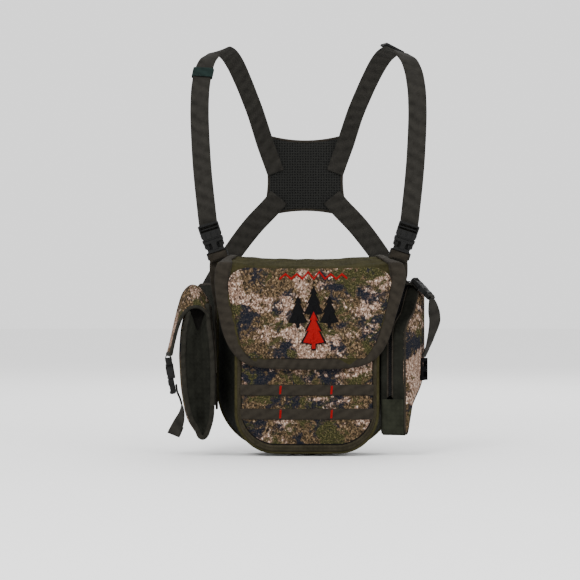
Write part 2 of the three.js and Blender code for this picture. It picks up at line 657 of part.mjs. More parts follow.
function rightPouch() {
  const { thick, split, width } = RIGHT;
  const group = new THREE.Group();
  group.position.set(RIGHT.x, RIGHT.y, 0);
  group.rotation.z = -THREE.MathUtils.degToRad(RIGHT.turn);
  pack.add(group);
  const seam = GAP / 2;
  const rearEdge = split - seam - ZIP_HALF;
  const frontEdge = split + seam + ZIP_HALF;
  const rear = tray([0, split - seam], [TRAY_WALL, split + 1], [rearEdge - GAP, split + 1]);
  add('right_rear_shell', rear, 'gusset', group);
  const front = tray([split + seam, thick], [split - 1, thick - TRAY_WALL], [split - 1, frontEdge + GAP]);
  add('right_front_shell', front, 'camo', group);
  add('right_zip_rear', zipSide(rearEdge, split - seam), 'zip', group);
  add('right_zip_front', zipSide(split + seam, frontEdge), 'zip', group);

  const slider = new THREE.Group();
  slider.position.set(split, width, 0);
  group.add(slider);
  const body = join(
    cut(block(-5, 5, 0.4, 3.6, -6, 6), block(-1.2, 1.2, -1, 2, -7, 7)),
    block(-3.4, -2.2, 3.2, 7.2, -4, -0.6),
    block(2.2, 3.4, 3.2, 7.2, -4, -0.6),
    block(-3, 3, 5.5, 6.5, -2.8, -1.8),
  );
  add('right_zip_slider', body, 'zip', slider);
  const pull = cut(
    join(block(-1.7, 1.7, 4.6, 7.4, -7, -0.9), block(-3.4, 3.4, 5.3, 6.7, -36, -5.6)),
    block(-2, 2, 5, 7, -3.3, -1.3),
  );
  add('right_zip_pull', pull, 'zip', slider);

  const mounts = { front: [18, -56, 32], rear: [51, -26, 58] };
  for (const [word, [y, low, high]] of Object.entries(mounts)) {
    add(`right_mount_strap_${word}`, block(-GAP - WEB_T, -GAP, y - 9, y + 9, low, high), 'webbing', group);
  }
  rightClosure(group);
}

// A lash strap down the front: a plug hangs from the top seam, the socket's webbing runs on down.
const RIGHT_BUCKLE = { x: 42.5, z: 68, lean: 45, size: 0.72 };

function rightClosure(group) {
  const { thick, top, strapY } = RIGHT;
  const { size } = RIGHT_BUCKLE;
  const side = [0, 1, 0];
  const bar = new THREE.Vector3(RIGHT_BUCKLE.x, strapY, RIGHT_BUCKLE.z);
  const lean = THREE.MathUtils.degToRad(RIGHT_BUCKLE.lean);
  // standing up, the buckle points back along the strap towards the pouch's top
  const along = new THREE.Vector3(-Math.cos(lean), 0, Math.sin(lean));
  const inward = new THREE.Vector3(-Math.sin(lean), 0, -Math.cos(lean));
  const wide = new THREE.Vector3().crossVectors(inward, along);
  const buckle = new THREE.Group();
  buckle.matrixAutoUpdate = false;
  buckle.matrix.makeBasis(wide, inward, along)
    .scale(new THREE.Vector3(size, size, size)).setPosition(bar);
  group.add(buckle);
  add('right_buckle_socket', buckleSocket(), 'plastic', buckle);
  add('right_buckle_plug', bucklePlug(), 'plastic', buckle);

  const strapWidth = CLOSURE_W - 2;
  const behind = (up) => bar.clone().addScaledVector(along, up)
    .addScaledVector(inward, 3 * size + 2 * GAP + WEB_T / 2).toArray();
  const seam = top + GAP + WEB_T / 2;
  const over = [
    behind(17), behind(20.5), behind(24),
    [20.6, strapY, seam], [17.8, strapY, seam + 0.4], [15, strapY, seam + 0.2]];
  add('right_strap_top', ribbon(over, over.map(() => side), strapWidth, WEB_T, 16), 'strap', group);

  const fold = cut(
    block(-9, 9, -4.2, 4.2, -6.6, 4.6),
    block(-10, 10, -2.6, 2.6, -2.9, 2.2),
  ).applyMatrix4(buckle.matrix);
  const start = bar.clone().addScaledVector(along, -3.2).toArray();
  const fall = [
    start, [46.2, strapY, 58], [47.6, strapY, 49], [48.4, strapY, 40], [45, strapY, 25],
    [40, strapY, 9], [thick + 3.6, strapY, -2.6]];
  const turns = [side, [0.3, 0.9, 0.1], [0.6, 0.75, 0.2], [0.35, 0.9, 0.1], side, side, side];
  const webbing = join(ribbon(fall, turns, strapWidth, WEB_T, 14), fold);
  add('right_closure_webbing', webbing, 'strap', group);
  const clip = cut(
    block(thick + GAP, thick + 5.4, strapY - 9.5, strapY + 9.5, -30, -4),
    block(thick + 1.8, thick + 6, strapY - 7.5, strapY + 7.5, -26, -20),
    block(thick + 1.8, thick + 6, strapY - 7.5, strapY + 7.5, -14, -8),
  );
  add('right_strap_anchor', clip, 'plastic', group);
}

mainPouch();
mainLid();
for (const side of [-1, 1]) {
  shoulder(side);
  wing(side);
}
yoke();
leftPouch();
rightPouch();

export default pack;
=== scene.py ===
"""Binocular harness pack: the looks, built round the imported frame. A piece's points are millimetres until
piece() scales them. The camera, lights, floor and materials are in metres."""
import functools
import math
import bmesh
import bpy
import numpy as np
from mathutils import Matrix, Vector, noise


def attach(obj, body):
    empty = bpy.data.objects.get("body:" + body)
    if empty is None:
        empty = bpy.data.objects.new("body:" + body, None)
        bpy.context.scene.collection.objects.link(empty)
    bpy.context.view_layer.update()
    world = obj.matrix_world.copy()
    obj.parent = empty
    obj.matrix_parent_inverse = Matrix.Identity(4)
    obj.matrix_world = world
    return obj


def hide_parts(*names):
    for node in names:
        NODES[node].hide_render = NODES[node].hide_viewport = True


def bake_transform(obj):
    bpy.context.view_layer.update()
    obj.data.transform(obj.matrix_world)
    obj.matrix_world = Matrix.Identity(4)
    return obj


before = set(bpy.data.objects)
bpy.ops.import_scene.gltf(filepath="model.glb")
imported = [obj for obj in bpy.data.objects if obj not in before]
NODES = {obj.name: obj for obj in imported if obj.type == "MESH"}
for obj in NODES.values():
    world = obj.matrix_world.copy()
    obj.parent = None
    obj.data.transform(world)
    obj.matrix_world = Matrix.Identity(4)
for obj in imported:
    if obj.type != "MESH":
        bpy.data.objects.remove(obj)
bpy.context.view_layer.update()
MM = 0.001

# ---- camera -------------------------------------------------------------------------------
CAMERA_AT = (-0.0196, -2.8, 0.0757)  # in front of the lid, looking straight back
camera_data = bpy.data.cameras.new("camera")
camera_data.lens = 146.4
camera_data.sensor_width = 36
camera = bpy.data.objects.new("camera", camera_data)
camera.location = CAMERA_AT
camera.rotation_euler = (math.radians(90), 0, 0)
bpy.context.scene.collection.objects.link(camera)
bpy.context.scene.camera = camera


# ---- materials ----------------------------------------------------------------------------
class Material:
    """A node material: add() makes a node, sets its inputs and returns one of its outputs."""

    def __init__(self, name, roughness, specular, sheen=0.0):
        self.material = bpy.data.materials.new(name)
        self.material.use_nodes = True
        self.tree = self.material.node_tree
        self.shader = self.tree.nodes["Principled BSDF"]
        self.shader.inputs["Roughness"].default_value = roughness
        self.shader.inputs["Specular IOR Level"].default_value = specular
        self.shader.inputs["Sheen Weight"].default_value = sheen
        self.shader.inputs["Sheen Roughness"].default_value = 0.5

    def add(self, kind, inputs=None, out=0, **settings):
        node = self.tree.nodes.new("ShaderNode" + kind)
        for key, value in settings.items():
            setattr(node, key, value)
        for key, value in (inputs or {}).items():
            self.put(node.inputs[key], value)
        return node.outputs[out]

    def put(self, socket, value):
        if isinstance(value, bpy.types.NodeSocket):
            self.tree.links.new(value, socket)
        else:
            socket.default_value = value

    def coordinates(self, uv=False, scale=(1, 1, 1), offset=(0, 0, 0), turn=(0, 0, 0)):
        """The cloth's own UV in metres, or else the place in the object, through a mapping."""
        source = self.add("TexCoord", out=2 if uv else 3)
        return self.add("Mapping", {"Vector": source, "Scale": scale, "Location": offset, "Rotation": turn})

    def noise(self, where, scale, detail=2.0, roughness=0.5, distortion=0.0):
        return self.add("TexNoise", {"Vector": where, "Scale": scale, "Detail": detail,
                                     "Roughness": roughness, "Distortion": distortion})

    def wave(self, where, pitch, axis, distortion=0.0):
        """Bands that lie pitch metres apart."""
        return self.add("TexWave", {"Vector": where, "Scale": 1 / pitch / 20, "Distortion": distortion,
                                    "Detail": 1.0}, bands_direction=axis, out=1)

    def ramp(self, value, stops):
        node = self.tree.nodes.new("ShaderNodeValToRGB")
        elements = node.color_ramp.elements
        while len(elements) < len(stops):
            elements.new(0.5)
        for element, (place, colour) in zip(elements, stops):
            element.position = place
            element.color = (*colour, 1)
        self.tree.links.new(value, node.inputs[0])
        return node.outputs[0]

    def step(self, value, low, high):
        """From 0 below low to 1 above high."""
        return self.add("MapRange", {"Value": value, "From Min": low, "From Max": high},
                        interpolation_type="SMOOTHSTEP")

    def math(self, operation, a, b):
        return self.add("Math", {0: a, 1: b}, operation=operation)

    def mix(self, factor, a, b):
        node = self.tree.nodes.new("ShaderNodeMix")
        node.data_type = "RGBA"
        for key, value in ((0, factor), (6, a), (7, b)):
            if key and not isinstance(value, bpy.types.NodeSocket):
                value = (*value, 1)
            self.put(node.inputs[key], value)
        return node.outputs[2]

    def bump(self, height, distance, strength=1.0, after=None):
        inputs = {"Height": height, "Distance": distance, "Strength": strength}
        if after is not None:
            inputs["Normal"] = after
        return self.add("Bump", inputs)

    def done(self, colour, normal=None):
        self.put(self.shader.inputs["Base Color"], colour)
        if normal is not None:
            self.tree.links.new(normal, self.shader.inputs["Normal"])
        return self.material


def shade(colour, factor, lift=0.0):
    """A lighter or darker version of a colour."""
    return tuple(c * factor + lift for c in colour)


def cloth(name, base, pitch=0.0009):
    """Woven cloth or tape: yarns in the bump, and a little fading and dust in the colour."""
    m = Material(name, 1.0, 0.03)
    where = m.coordinates(True)
    yarn = m.math("MULTIPLY", m.wave(where, pitch, "X", 0.6), m.wave(where, pitch, "Y", 0.6))
    light = shade(base, 1.4)
    tone = m.ramp(m.noise(where, 55, 4, 0.6), [(0.32, shade(base, 0.62)), (0.68, light)])
    colour = m.mix(m.math("MULTIPLY", yarn, 0.45), tone, light)
    dust = m.step(m.noise(where, 900, 2, 0.7), 0.62, 0.9)
    colour = m.mix(m.math("MULTIPLY", dust, 0.12), colour, shade(base, 2.4, 0.006))
    folds = m.bump(m.noise(where, 38, 3, 0.5), 0.0022, 0.35)
    return m.done(colour, m.bump(yarn, 0.0003, 0.6, folds))


def webbing(name, base, pitch=0.0022):
    """Twill webbing: slanting ribs across it, lighter on the ribs."""
    m = Material(name, 0.95, 0.06, sheen=0.01)
    where = m.coordinates(True)
    rib = m.wave(m.coordinates(True, turn=(0, 0, math.radians(28))), pitch, "Y", 0.4)
    fine = m.wave(where, 0.0011, "X")
    height = m.math("MULTIPLY", rib, m.math("MULTIPLY_ADD", fine, 0.4))
    tone = m.ramp(m.noise(where, 120, 3, 0.6), [(0.3, shade(base, 0.7)), (0.7, shade(base, 1.3))])
    colour = m.mix(m.math("MULTIPLY", rib, 0.4), tone, shade(base, 1.7))
    return m.done(colour, m.bump(height, 0.0004, 0.7))


def camouflage(name, offset, light=0.505):
    """Printed woodland cloth: bright bark flecks, dark hollows and moss, in drifting patches."""
    m = Material(name, 1.0, 0.03)

    def shifted(right=0.0, up=0.0, scale=(1, 1, 1), turn=0.0):
        return m.coordinates(True, scale, (offset[0] + right, offset[1] + up, 0), (0, 0, math.radians(turn)))

    where = shifted()
    fleck = m.noise(shifted(scale=(1, 0.72, 1), turn=24), 470, 4, 0.7, 0.9)
    speck = m.noise(where, 620, 3, 0.7, 0.4)
    ragged = m.math("MULTIPLY", m.math("SUBTRACT", m.noise(where, 130, 3, 0.7), 0.5), 0.55)

    def patches(spot, scale, low, high):
        return m.step(m.math("ADD", m.noise(spot, scale, 3, 0.58, 0.5), ragged), low, high)

    bark = m.ramp(fleck, [(0.37, (0.012, 0.009, 0.008)), (0.45, (0.085, 0.052, 0.036)),
                          (0.51, (0.175, 0.108, 0.076)), (0.58, (0.31, 0.22, 0.17)),
                          (0.67, (0.62, 0.53, 0.46))])
    soil = m.ramp(fleck, [(0.38, (0.008, 0.0075, 0.006)), (0.5, (0.040, 0.027, 0.015)),
                          (0.59, (0.12, 0.078, 0.042)), (0.67, (0.28, 0.2, 0.13))])
    night = m.ramp(speck, [(0.38, (0.0035, 0.0045, 0.008)), (0.56, (0.011, 0.012, 0.0165)),
                           (0.7, (0.06, 0.047, 0.036))])
    green = m.ramp(speck, [(0.36, (0.008, 0.009, 0.005)), (0.53, (0.029, 0.028, 0.0115)),
                           (0.66, (0.095, 0.08, 0.034))])
    colour = m.mix(patches(shifted(3.1, 1.7), 30, 0.46, 0.56), soil, night)
    colour = m.mix(patches(shifted(7.3, -2.2), 34, 0.51, 0.6), colour, green)
    # light sets where the bark patches begin; LOOK gives the pieces different values, which paints light and
    # shade into them
    colour = m.mix(patches(shifted(scale=(0.85, 1.15, 1), turn=-35), 20, light, light + 0.07), colour, bark)
    folds = m.bump(m.noise(where, 34, 3, 0.5), 0.002, 0.3)
    return m.done(colour, m.bump(fleck, 0.0003, 0.5, folds))


def plastic(name, base, specular=0.09):
    """Moulded acetal: a fine spark texture, an uneven gloss and small scuffs."""
    m = Material(name, 0.55, specular)
    where = m.coordinates()
    scuff = m.step(m.noise(where, 700, 3, 0.7), 0.6, 0.75)
    colour = m.mix(m.math("MULTIPLY", scuff, 0.35), base, shade(base, 3, 0.004))
    m.put(m.shader.inputs["Roughness"],
          m.ramp(m.noise(where, 150, 3), [(0.3, (0.42,) * 3), (0.7, (0.6,) * 3)]))
    return m.done(colour, m.bump(m.noise(where, 2600, 2), 0.0001, 0.35))


def spacer(name, base):
    """Spacer mesh: rows of small round openings, painted near-black inside as shade."""
    m = Material(name, 0.95, 0.1, sheen=0.04)
    where = m.coordinates(True, scale=(300, 300, 300))
    cell = m.add("TexVoronoi", {"Vector": where, "Scale": 1.0, "Randomness": 0.15}, feature="F1")
    hole_and_shade = m.step(cell, 0.18, 0.42)
    # the openings' dark colour is painted shade inside them; the same mask sinks them in the bump
    return m.done(m.mix(hole_and_shade, shade(base, 0.2), base), m.bump(hole_and_shade, 0.0008, 0.8))


def thread(name, base):
    """Sewing thread: fine strands, darker between them."""
    m = Material(name, 0.75, 0.1)
    where = m.coordinates()
    colour = m.ramp(m.noise(where, 1500, 2), [(0.3, shade(base, 0.65)), (0.7, base)])
    return m.done(colour, m.bump(m.noise(where, 3000, 2), 0.0001, 0.4))


OLIVE = (0.024, 0.0215, 0.0095)
BAND = (0.0228, 0.0196, 0.0126)
DARK = (0.0097, 0.0099, 0.0078)
GREENISH = (0.0145, 0.0155, 0.0108)
TAPE = (0.0168, 0.0142, 0.0108)
EDGE = (0.0125, 0.0118, 0.0092)
STRAP = (0.0150, 0.0140, 0.0120)
TEAL = (0.007, 0.013, 0.0115)
LOOK = {  # a short name for each finish
    # camo, camo_side and camo_left are one print at other offsets; their last number gives camo_side more
    # light bark patches and camo and camo_left fewer: painted light and shade
    "camo": camouflage("camo_cloth", (0.13, 0.41), 0.535),
    "camo_side": camouflage("camo_cloth_side", (0.31, 0.17), 0.47),
    "camo_left": camouflage("camo_cloth_left", (0.19, 0.63), 0.54),
    "camo_lid": camouflage("camo_cloth_lid", (0.57, -0.23)),
    "olive": cloth("olive_cloth", OLIVE),
    "band": cloth("olive_band", BAND),
    "dark": cloth("dark_cloth", DARK),
    "greenish": cloth("greenish_cloth", GREENISH),
    "tape": webbing("tape_webbing", TAPE, 0.0016),
    "edge": webbing("edge_webbing", EDGE, 0.0016),
    "strap": webbing("strap_webbing", STRAP),
    "teal": webbing("teal_webbing", TEAL, 0.0016),
    "mesh": spacer("spacer_mesh", (0.012, 0.012, 0.011)),
    "hook": cloth("hook_loop", (0.006, 0.0056, 0.005), 0.0014),
    "plastic": plastic("buckle_plastic", (0.0085, 0.0085, 0.0082)),
    "dull_plastic": plastic("clip_plastic", (0.0055, 0.0055, 0.006), specular=0.0),
    "zip": plastic("zip_coil", (0.005, 0.005, 0.006)),
    "red": thread("red_thread", (0.25, 0.002, 0.0034)),
    "black": thread("black_thread", (0.0016, 0.0016, 0.002)),
    "dull": thread("olive_thread", (0.014, 0.012, 0.007)),
}


# ---- meshes -------------------------------------------------------------------------------
def piece(name, verts, faces, look, body, uvs=None, stands_for=(), smooth=True):
    """A mesh in the row frame from millimetre points, on its body, with its finish."""
    data = bpy.data.meshes.new(name)
    data.from_pydata([tuple(np.asarray(v) * MM) for v in verts], [], faces)
    if uvs is not None:
        layer = data.uv_layers.new(name="UVMap")
        flat = np.asarray(uvs)[[loop.vertex_index for loop in data.loops]] * MM
        layer.data.foreach_set("uv", flat.astype(np.float32).ravel())
    obj = bpy.data.objects.new(name, data)
    bpy.context.scene.collection.objects.link(obj)
    shape = bmesh.new()
    shape.from_mesh(data)
    bmesh.ops.remove_doubles(shape, verts=shape.verts, dist=1e-6)
    bmesh.ops.recalc_face_normals(shape, faces=shape.faces)
    shape.to_mesh(data)
    shape.free()
    if smooth:
        data.shade_smooth()
    data.materials.append(LOOK[look])
    if stands_for:
        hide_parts(*stands_for)
    if isinstance(body, str):
        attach(obj, body)
    else:
        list(body)
        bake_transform(obj)
    return obj


def distances(points):
    """Distance along a line at each of its points."""
    return np.concatenate([[0], np.cumsum(np.linalg.norm(np.diff(points, axis=0), axis=1))])


def ring_faces(rings, sides):
    """Quads between rings of points."""
    return [(i * sides + j, i * sides + (j + 1) % sides,
             (i + 1) * sides + (j + 1) % sides, (i + 1) * sides + j)
            for i in range(rings - 1) for j in range(sides)]


def rod_faces(rings, sides):
    """Quads between rings of points, and a cap at each end."""
    last = (rings - 1) * sides
    return ring_faces(rings, sides) + [tuple(range(sides))[::-1], tuple(range(last, last + sides))]


def grid_normals(P, closed):
    """Unit normals of a grid of points, rows first."""
    across = np.gradient(P, axis=1)
    if closed:
        across = np.roll(P, -1, axis=1) - np.roll(P, 1, axis=1)
    n = np.cross(across, np.gradient(P, axis=0))
    return n / np.maximum(np.linalg.norm(n, axis=2, keepdims=True), 1e-9)


def grid_uv(P, closed=False):
    """Distance across from the middle of each row, and along the middle column, in millimetres."""
    gaps = np.linalg.norm(np.diff(P, axis=1), axis=2)
    u = np.concatenate([np.zeros((len(P), 1)), np.cumsum(gaps, axis=1)], axis=1)
    middle = P.shape[1] // 2
    if not closed:
        u = u - u[:, middle:middle + 1]
    v = distances(P[:, middle])[:, None] * np.ones_like(u)
    return np.stack([u, v], axis=2)


def sheet(name, P, thick, look, body, stands_for=(), closed=False, uv=None, rim=0.35):
    """A thick sheet over a grid of points: both faces and a rounded rim."""
    P = np.asarray(P, float)
    n = grid_normals(P, closed)
    rows, cols = P.shape[:2]
    uv = grid_uv(P, closed) if uv is None else np.asarray(uv, float)
    flat, flat_n, flat_uv = P.reshape(-1, 3), n.reshape(-1, 3), uv.reshape(-1, 2)
    verts = [(P + n * (thick / 2)).reshape(-1, 3), (P - n * (thick / 2)).reshape(-1, 3)]
    uvs = [flat_uv, flat_uv]
    count = rows * cols
    index = lambda i, j: i * cols + j % cols
    faces = []
    for i in range(rows - 1):
        for j in range(cols if closed else cols - 1):
            a, b, c, d = index(i, j), index(i, j + 1), index(i + 1, j + 1), index(i + 1, j)
            faces += [(a, b, c, d), (a + count, d + count, c + count, b + count)]
    first, last = ([index(i, j) for j in range(cols)] for i in (0, rows - 1))
    if closed:
        loops = [first, last[::-1]]
    else:
        loops = [first + [index(i, cols - 1) for i in range(1, rows)] + last[-2::-1]
                 + [index(i, 0) for i in range(rows - 2, 0, -1)]]
    start = 2 * count
    for loop in loops:
        ring = flat[loop]
        along = np.roll(ring, -1, axis=0) - np.roll(ring, 1, axis=0)
        out = np.cross(along, flat_n[loop])
        out /= np.maximum(np.linalg.norm(out, axis=1, keepdims=True), 1e-9)
        outward = np.sign(np.sum(out * (ring - flat.mean(0)), axis=1).mean()) or 1
        verts.append(ring + out * outward * (thick * rim))
        uvs.append(flat_uv[loop])
        k = len(loop)
        for q in range(k):
            a, b, m, l = loop[q], loop[(q + 1) % k], start + q, start + (q + 1) % k
            faces += [(a, m, l, b), (m, a + count, b + count, l)]
        start += k
    return piece(name, np.concatenate(verts), faces, look, body, np.concatenate(uvs), stands_for)


def curve(points, steps, ends=None):
    """Centripetal Catmull-Rom spline through points: steps + 1 places and tangents."""
    p = np.asarray(points, float)
    p = np.concatenate([[2 * p[0] - p[1]], p, [2 * p[-1] - p[-2]]])
    out, tangent = [], []
    last = len(points) - 1
    low, high = ends or (0, last)
    for i in range(steps + 1):
        at = low + (high - low) * i / steps
        k = min(int(at), last - 1)
        w = at - k
        a, b, c, d = p[k:k + 4]
        d0, d1, d2 = (max(np.sum((y - x) ** 2) ** 0.25, 1e-4) for x, y in ((a, b), (b, c), (c, d)))
        t1 = ((b - a) / d0 - (c - a) / (d0 + d1) + (c - b) / d1) * d1
        t2 = ((c - b) / d1 - (d - b) / (d1 + d2) + (d - c) / d2) * d1
        c2, c3 = -3 * b + 3 * c - 2 * t1 - t2, 2 * b - 2 * c + t1 + t2
        out.append(b + t1 * w + c2 * w * w + c3 * w ** 3)
        tangent.append(t1 + 2 * c2 * w + 3 * c3 * w * w)
    tangent = np.array(tangent)
    return np.array(out), tangent / np.linalg.norm(tangent, axis=1, keepdims=True)


def spread(points, count):
    """The same line in count places, evenly along it."""
    p = np.asarray(points, float)
    reach = distances(p)
    at = np.linspace(0, reach[-1], count)
    return np.stack([np.interp(at, reach, p[:, k]) for k in range(p.shape[1])], axis=1)


def spread_loop(outline, count):
    """A closed outline as a line of count places that ends where it starts."""
    return spread(np.concatenate([outline, outline[:1]]), count)


def smoothed(line, times):
    """The same line with its bends eased and its ends kept."""
    for _ in range(times):
        line[1:-1] = (line[:-2] + 2 * line[1:-1] + line[2:]) / 4
    return line


def strap_frame(points, sides, steps, ends=None):
    """Places, width directions and face normals along a strap."""
    at, tangent = curve(points, steps, ends)
    low, high = ends or (0, len(points) - 1)
    along = np.linspace(low, high, steps + 1)
    side = np.stack([np.interp(along, range(len(points)), np.asarray(sides, float)[:, k])
                     for k in range(3)], axis=1)
    side -= tangent * np.sum(side * tangent, axis=1, keepdims=True)
    side /= np.linalg.norm(side, axis=1, keepdims=True)
    return at, side, np.cross(tangent, side), tangent


def strap(name, points, sides, width, look, body, stands_for=(), thick=1.6, steps=90, cup=0.35, ripple=0.0):
    """Flat webbing along a curve, slightly cupped, with rounded selvedges."""
    at, side, normal, _ = strap_frame(points, sides, steps)
    rows = []
    for i in range(steps + 1):
        wave = ripple * math.sin(i * 0.55) * math.sin(i * 0.13)
        rows.append([at[i] + side[i] * width * a + normal[i] * (cup * (1 - (2 * a) ** 2) - cup / 2 + wave)
                     for a in np.linspace(-0.5, 0.5, 9)])
    return sheet(name, rows, thick, look, body, stands_for)


def tube(name, points, radius, look, body, stands_for=(), sides=12, squash=(1, 1), up=(0, 1, 0), ends=True):
    """A round or oval cord along a line, with rounded ends."""
    p = np.asarray(points, float)
    t = np.gradient(p, axis=0)
    t /= np.linalg.norm(t, axis=1, keepdims=True)
    a = np.cross(t, np.asarray(up, float))
    a /= np.linalg.norm(a, axis=1, keepdims=True)
    b = np.cross(a, t)
    rings = [(p[i], radius, a[i], b[i], reach) for i, reach in enumerate(distances(p))]
    if ends:
        length = rings[-1][4]
        for share, depth in ((0.75, 0.66), (0.35, 0.93)):
            rings.insert(0, (p[0] - t[0] * radius * depth, radius * share, a[0], b[0], -radius * depth))
            rings.append((p[-1] + t[-1] * radius * depth, radius * share, a[-1], b[-1], length))
    verts, uvs = [], []
    for centre, r, x, y, v in rings:
        for j in range(sides):
            angle = 2 * math.pi * j / sides
            verts.append(centre + x * r * squash[0] * math.cos(angle) + y * r * squash[1] * math.sin(angle))
            uvs.append((r * angle, v))
    return piece(name, verts, rod_faces(len(rings), sides), look, body, uvs, stands_for)


def solids(name, parts, look, body, stands_for=(), smooth=True):
    """Many small closed shapes as one piece. Each part is (verts, faces)."""
    verts, faces = [], []
    for v, f in parts:
        faces += [tuple(i + len(verts) for i in face) for face in f]
        verts += list(v)
    return piece(name, verts, faces, look, body, [(v[0], v[2]) for v in verts], stands_for, smooth)


def stitch(a, b, normal, radius=0.42):
    """One stitch: a thread that rises from a and goes down again at b."""
    a, b, normal = (np.asarray(x, float) for x in (a, b, normal))
    along = b - a
    wide = np.cross(along, normal)
    wide /= max(np.linalg.norm(wide), 1e-9)
    verts = []
    for share, lift in ((0.0, -0.3), (0.18, 0.35), (0.5, 0.55), (0.82, 0.35), (1.0, -0.3)):
        centre = a + along * share + normal * lift * radius
        for j in range(6):
            angle = math.pi * j / 3
            verts.append(centre + wide * radius * math.cos(angle) + normal * radius * math.sin(angle))
    return verts, rod_faces(5, 6)


def seam(line, normals, pitch=3.0, radius=0.42):
    """Stitches along a line that lies on a surface with these normals, each 0.72 of the pitch long."""
    line, normals = np.asarray(line, float), np.asarray(normals, float)
    if normals.ndim == 1:
        normals = np.tile(normals, (len(line), 1))
    count = max(int(distances(line)[-1] / pitch), 1)
    both = spread(line, 2 * count + 1)
    pick = np.linspace(0, len(line) - 1, count + 1)
    n = np.stack([np.interp(pick, range(len(line)), normals[:, k]) for k in range(3)], axis=1)
    return [stitch(both[2 * i], both[2 * i] + (both[2 * i + 2] - both[2 * i]) * 0.72, n[i], radius)
            for i in range(count)]


def ripple(p, size, depth, seed=0.0):
    """Smooth noise between 0 and depth at a point in millimetres, with features of this size."""
    return depth * 0.5 * (1 + noise.noise(Vector(p) / size + Vector((seed, seed, seed))))


CLOTH_FRAMES = 20


def cloth_pass(obj, pins, pressure, **settings):
    """Where a cloth simulation under pressure, without gravity, takes a mesh's points, in metres."""
    group = obj.vertex_groups.new(name="pin")
    group.add([int(i) for i in np.flatnonzero(pins)], 1.0, "REPLACE")
    modifier = obj.modifiers.new("cloth", "CLOTH")
    settings |= {"vertex_group_mass": "pin", "use_pressure": True, "uniform_pressure_force": pressure,
                 "mass": 0.15}
    for key, value in settings.items():
        setattr(modifier.settings, key, value)
    modifier.settings.effector_weights.gravity = 0
    modifier.collision_settings.use_self_collision = False
    modifier.point_cache.frame_start, modifier.point_cache.frame_end = 1, CLOTH_FRAMES
    for number in range(1, CLOTH_FRAMES + 1):
        bpy.context.scene.frame_set(number)
    moved = obj.evaluated_get(bpy.context.evaluated_depsgraph_get())
    places = np.array([v.co for v in moved.data.vertices], float)
    bpy.context.scene.frame_set(1)
    obj.modifiers.remove(modifier)
    obj.vertex_groups.clear()
    return places


def limited(rest, moved, cap):
    """Points on their way from rest to moved, each no further than cap."""
    shift = moved - rest
    length = np.maximum(np.linalg.norm(shift, axis=-1, keepdims=True), 1e-12)
    return rest + shift * np.minimum(1, cap / length)


def soften(P, pinned, pressure, cap):
    """Cloth pass over a grid: it swells or sinks between its pinned points, and moves at most cap."""
    P = np.asarray(P, float)
    rows, cols = P.shape[:2]
    faces = [(i * cols + j, i * cols + j + 1, (i + 1) * cols + j + 1, (i + 1) * cols + j)
             for i in range(rows - 1) for j in range(cols - 1)]
    data = bpy.data.meshes.new("cloth_pass")
    data.from_pydata([tuple(v * MM) for v in P.reshape(-1, 3)], [], faces)
    obj = bpy.data.objects.new("cloth_pass", data)
    bpy.context.scene.collection.objects.link(obj)
    moved = cloth_pass(obj, pinned, pressure, quality=6, tension_stiffness=12.0, compression_stiffness=12.0,
                       shear_stiffness=6.0, bending_stiffness=0.6, shrink_min=-0.012)
    bpy.data.objects.remove(obj)
    bpy.data.meshes.remove(data)
    return limited(P, moved.reshape(rows, cols, 3) / MM, cap)


def dress(name, look, round_edges=0.6):
    """A CAD node that keeps its shape: rounded edges and its finish."""
    node = NODES[name]
    node.data.materials.clear()
    node.data.materials.append(LOOK[look])
    bevel = node.modifiers.new("edges", "BEVEL")
    bevel.width = round_edges * MM
    bevel.segments = 3
    bevel.limit_method = "ANGLE"
    bevel.angle_limit = math.radians(35)
    node.data.shade_smooth()
    weighted = node.modifiers.new("normals", "WEIGHTED_NORMAL")
    weighted.keep_sharp = True


# ---- main pouch ---------------------------------------------------------------------------
FRONT_HALF, BACK_HALF, BOTTOM, FRONT_Y, BACK_Y = 82, 104, -112, -72, -11.2
FRONT_TOP, BACK_TOP, FRONT_R, BACK_R = 97, 110, 46, 70
PIPING = 2.1  # the radius of the cord in both seams
PANEL_Y, PANEL_THICK = -73.6, 2.6  # the front panel's middle surface at its rim
BACK_PANEL_Y, CHEST_PAD_Y = -7.65, -3.1


def u_line(half, top, bottom, radius, count):
    """Down one side, round the bottom and up the other, in X and Z."""
    arc = np.linspace(math.pi, 2 * math.pi, 61)
    left = [(-half, top)] + [(radius - half + radius * math.cos(a), bottom + radius + radius * math.sin(a))
                             for a in arc[:31]]
    right = [(half - radius + radius * math.cos(a), bottom + radius + radius * math.sin(a))
             for a in arc[30:]] + [(half, top)]
    return spread(left + right, count)


def u_half(z, half, bottom, radius):
    """Half width of that outline at height z."""
    if z >= bottom + radius:
        return half
    return half - radius + math.sqrt(max(radius ** 2 - (bottom + radius - z) ** 2, 0))


def main_gusset():
    """The side wall, a band from the front outline to the wider back one, which sags inwards."""
    front = u_line(FRONT_HALF, FRONT_TOP, BOTTOM, FRONT_R, 120)
    back = u_line(BACK_HALF, BACK_TOP, BOTTOM, BACK_R, 120)
    centre = np.array([0, (BOTTOM + BACK_TOP) / 2])
    rows = []
    for t in np.linspace(0, 1, 17):
        y = FRONT_Y + (BACK_Y - FRONT_Y) * t
        row = []
        for x, z in front * (1 - t) + back * t:
            inward = centre * (1, 0.6) - (x, z)
            inward = inward / np.linalg.norm(inward)
            sag = math.sin(math.pi * t) * (1.2 + ripple((x, y, z), 34, 2.6)) + 1.3
            row.append((x + inward[0] * sag, y, z + inward[1] * sag))
        rows.append(row)
    sheet("pouch_gusset", rows, 2.2, "dark", "harness", ["main_gusset"], rim=0.1)


def front_crown(x, z):
    """How far the front panel stands out: most below the lid."""
    side = max(0.0, 1 - (x / 80) ** 2)
    height = math.exp(-((z + 62) / 46) ** 2)
    return 4.2 * side * height + 0.4 * side


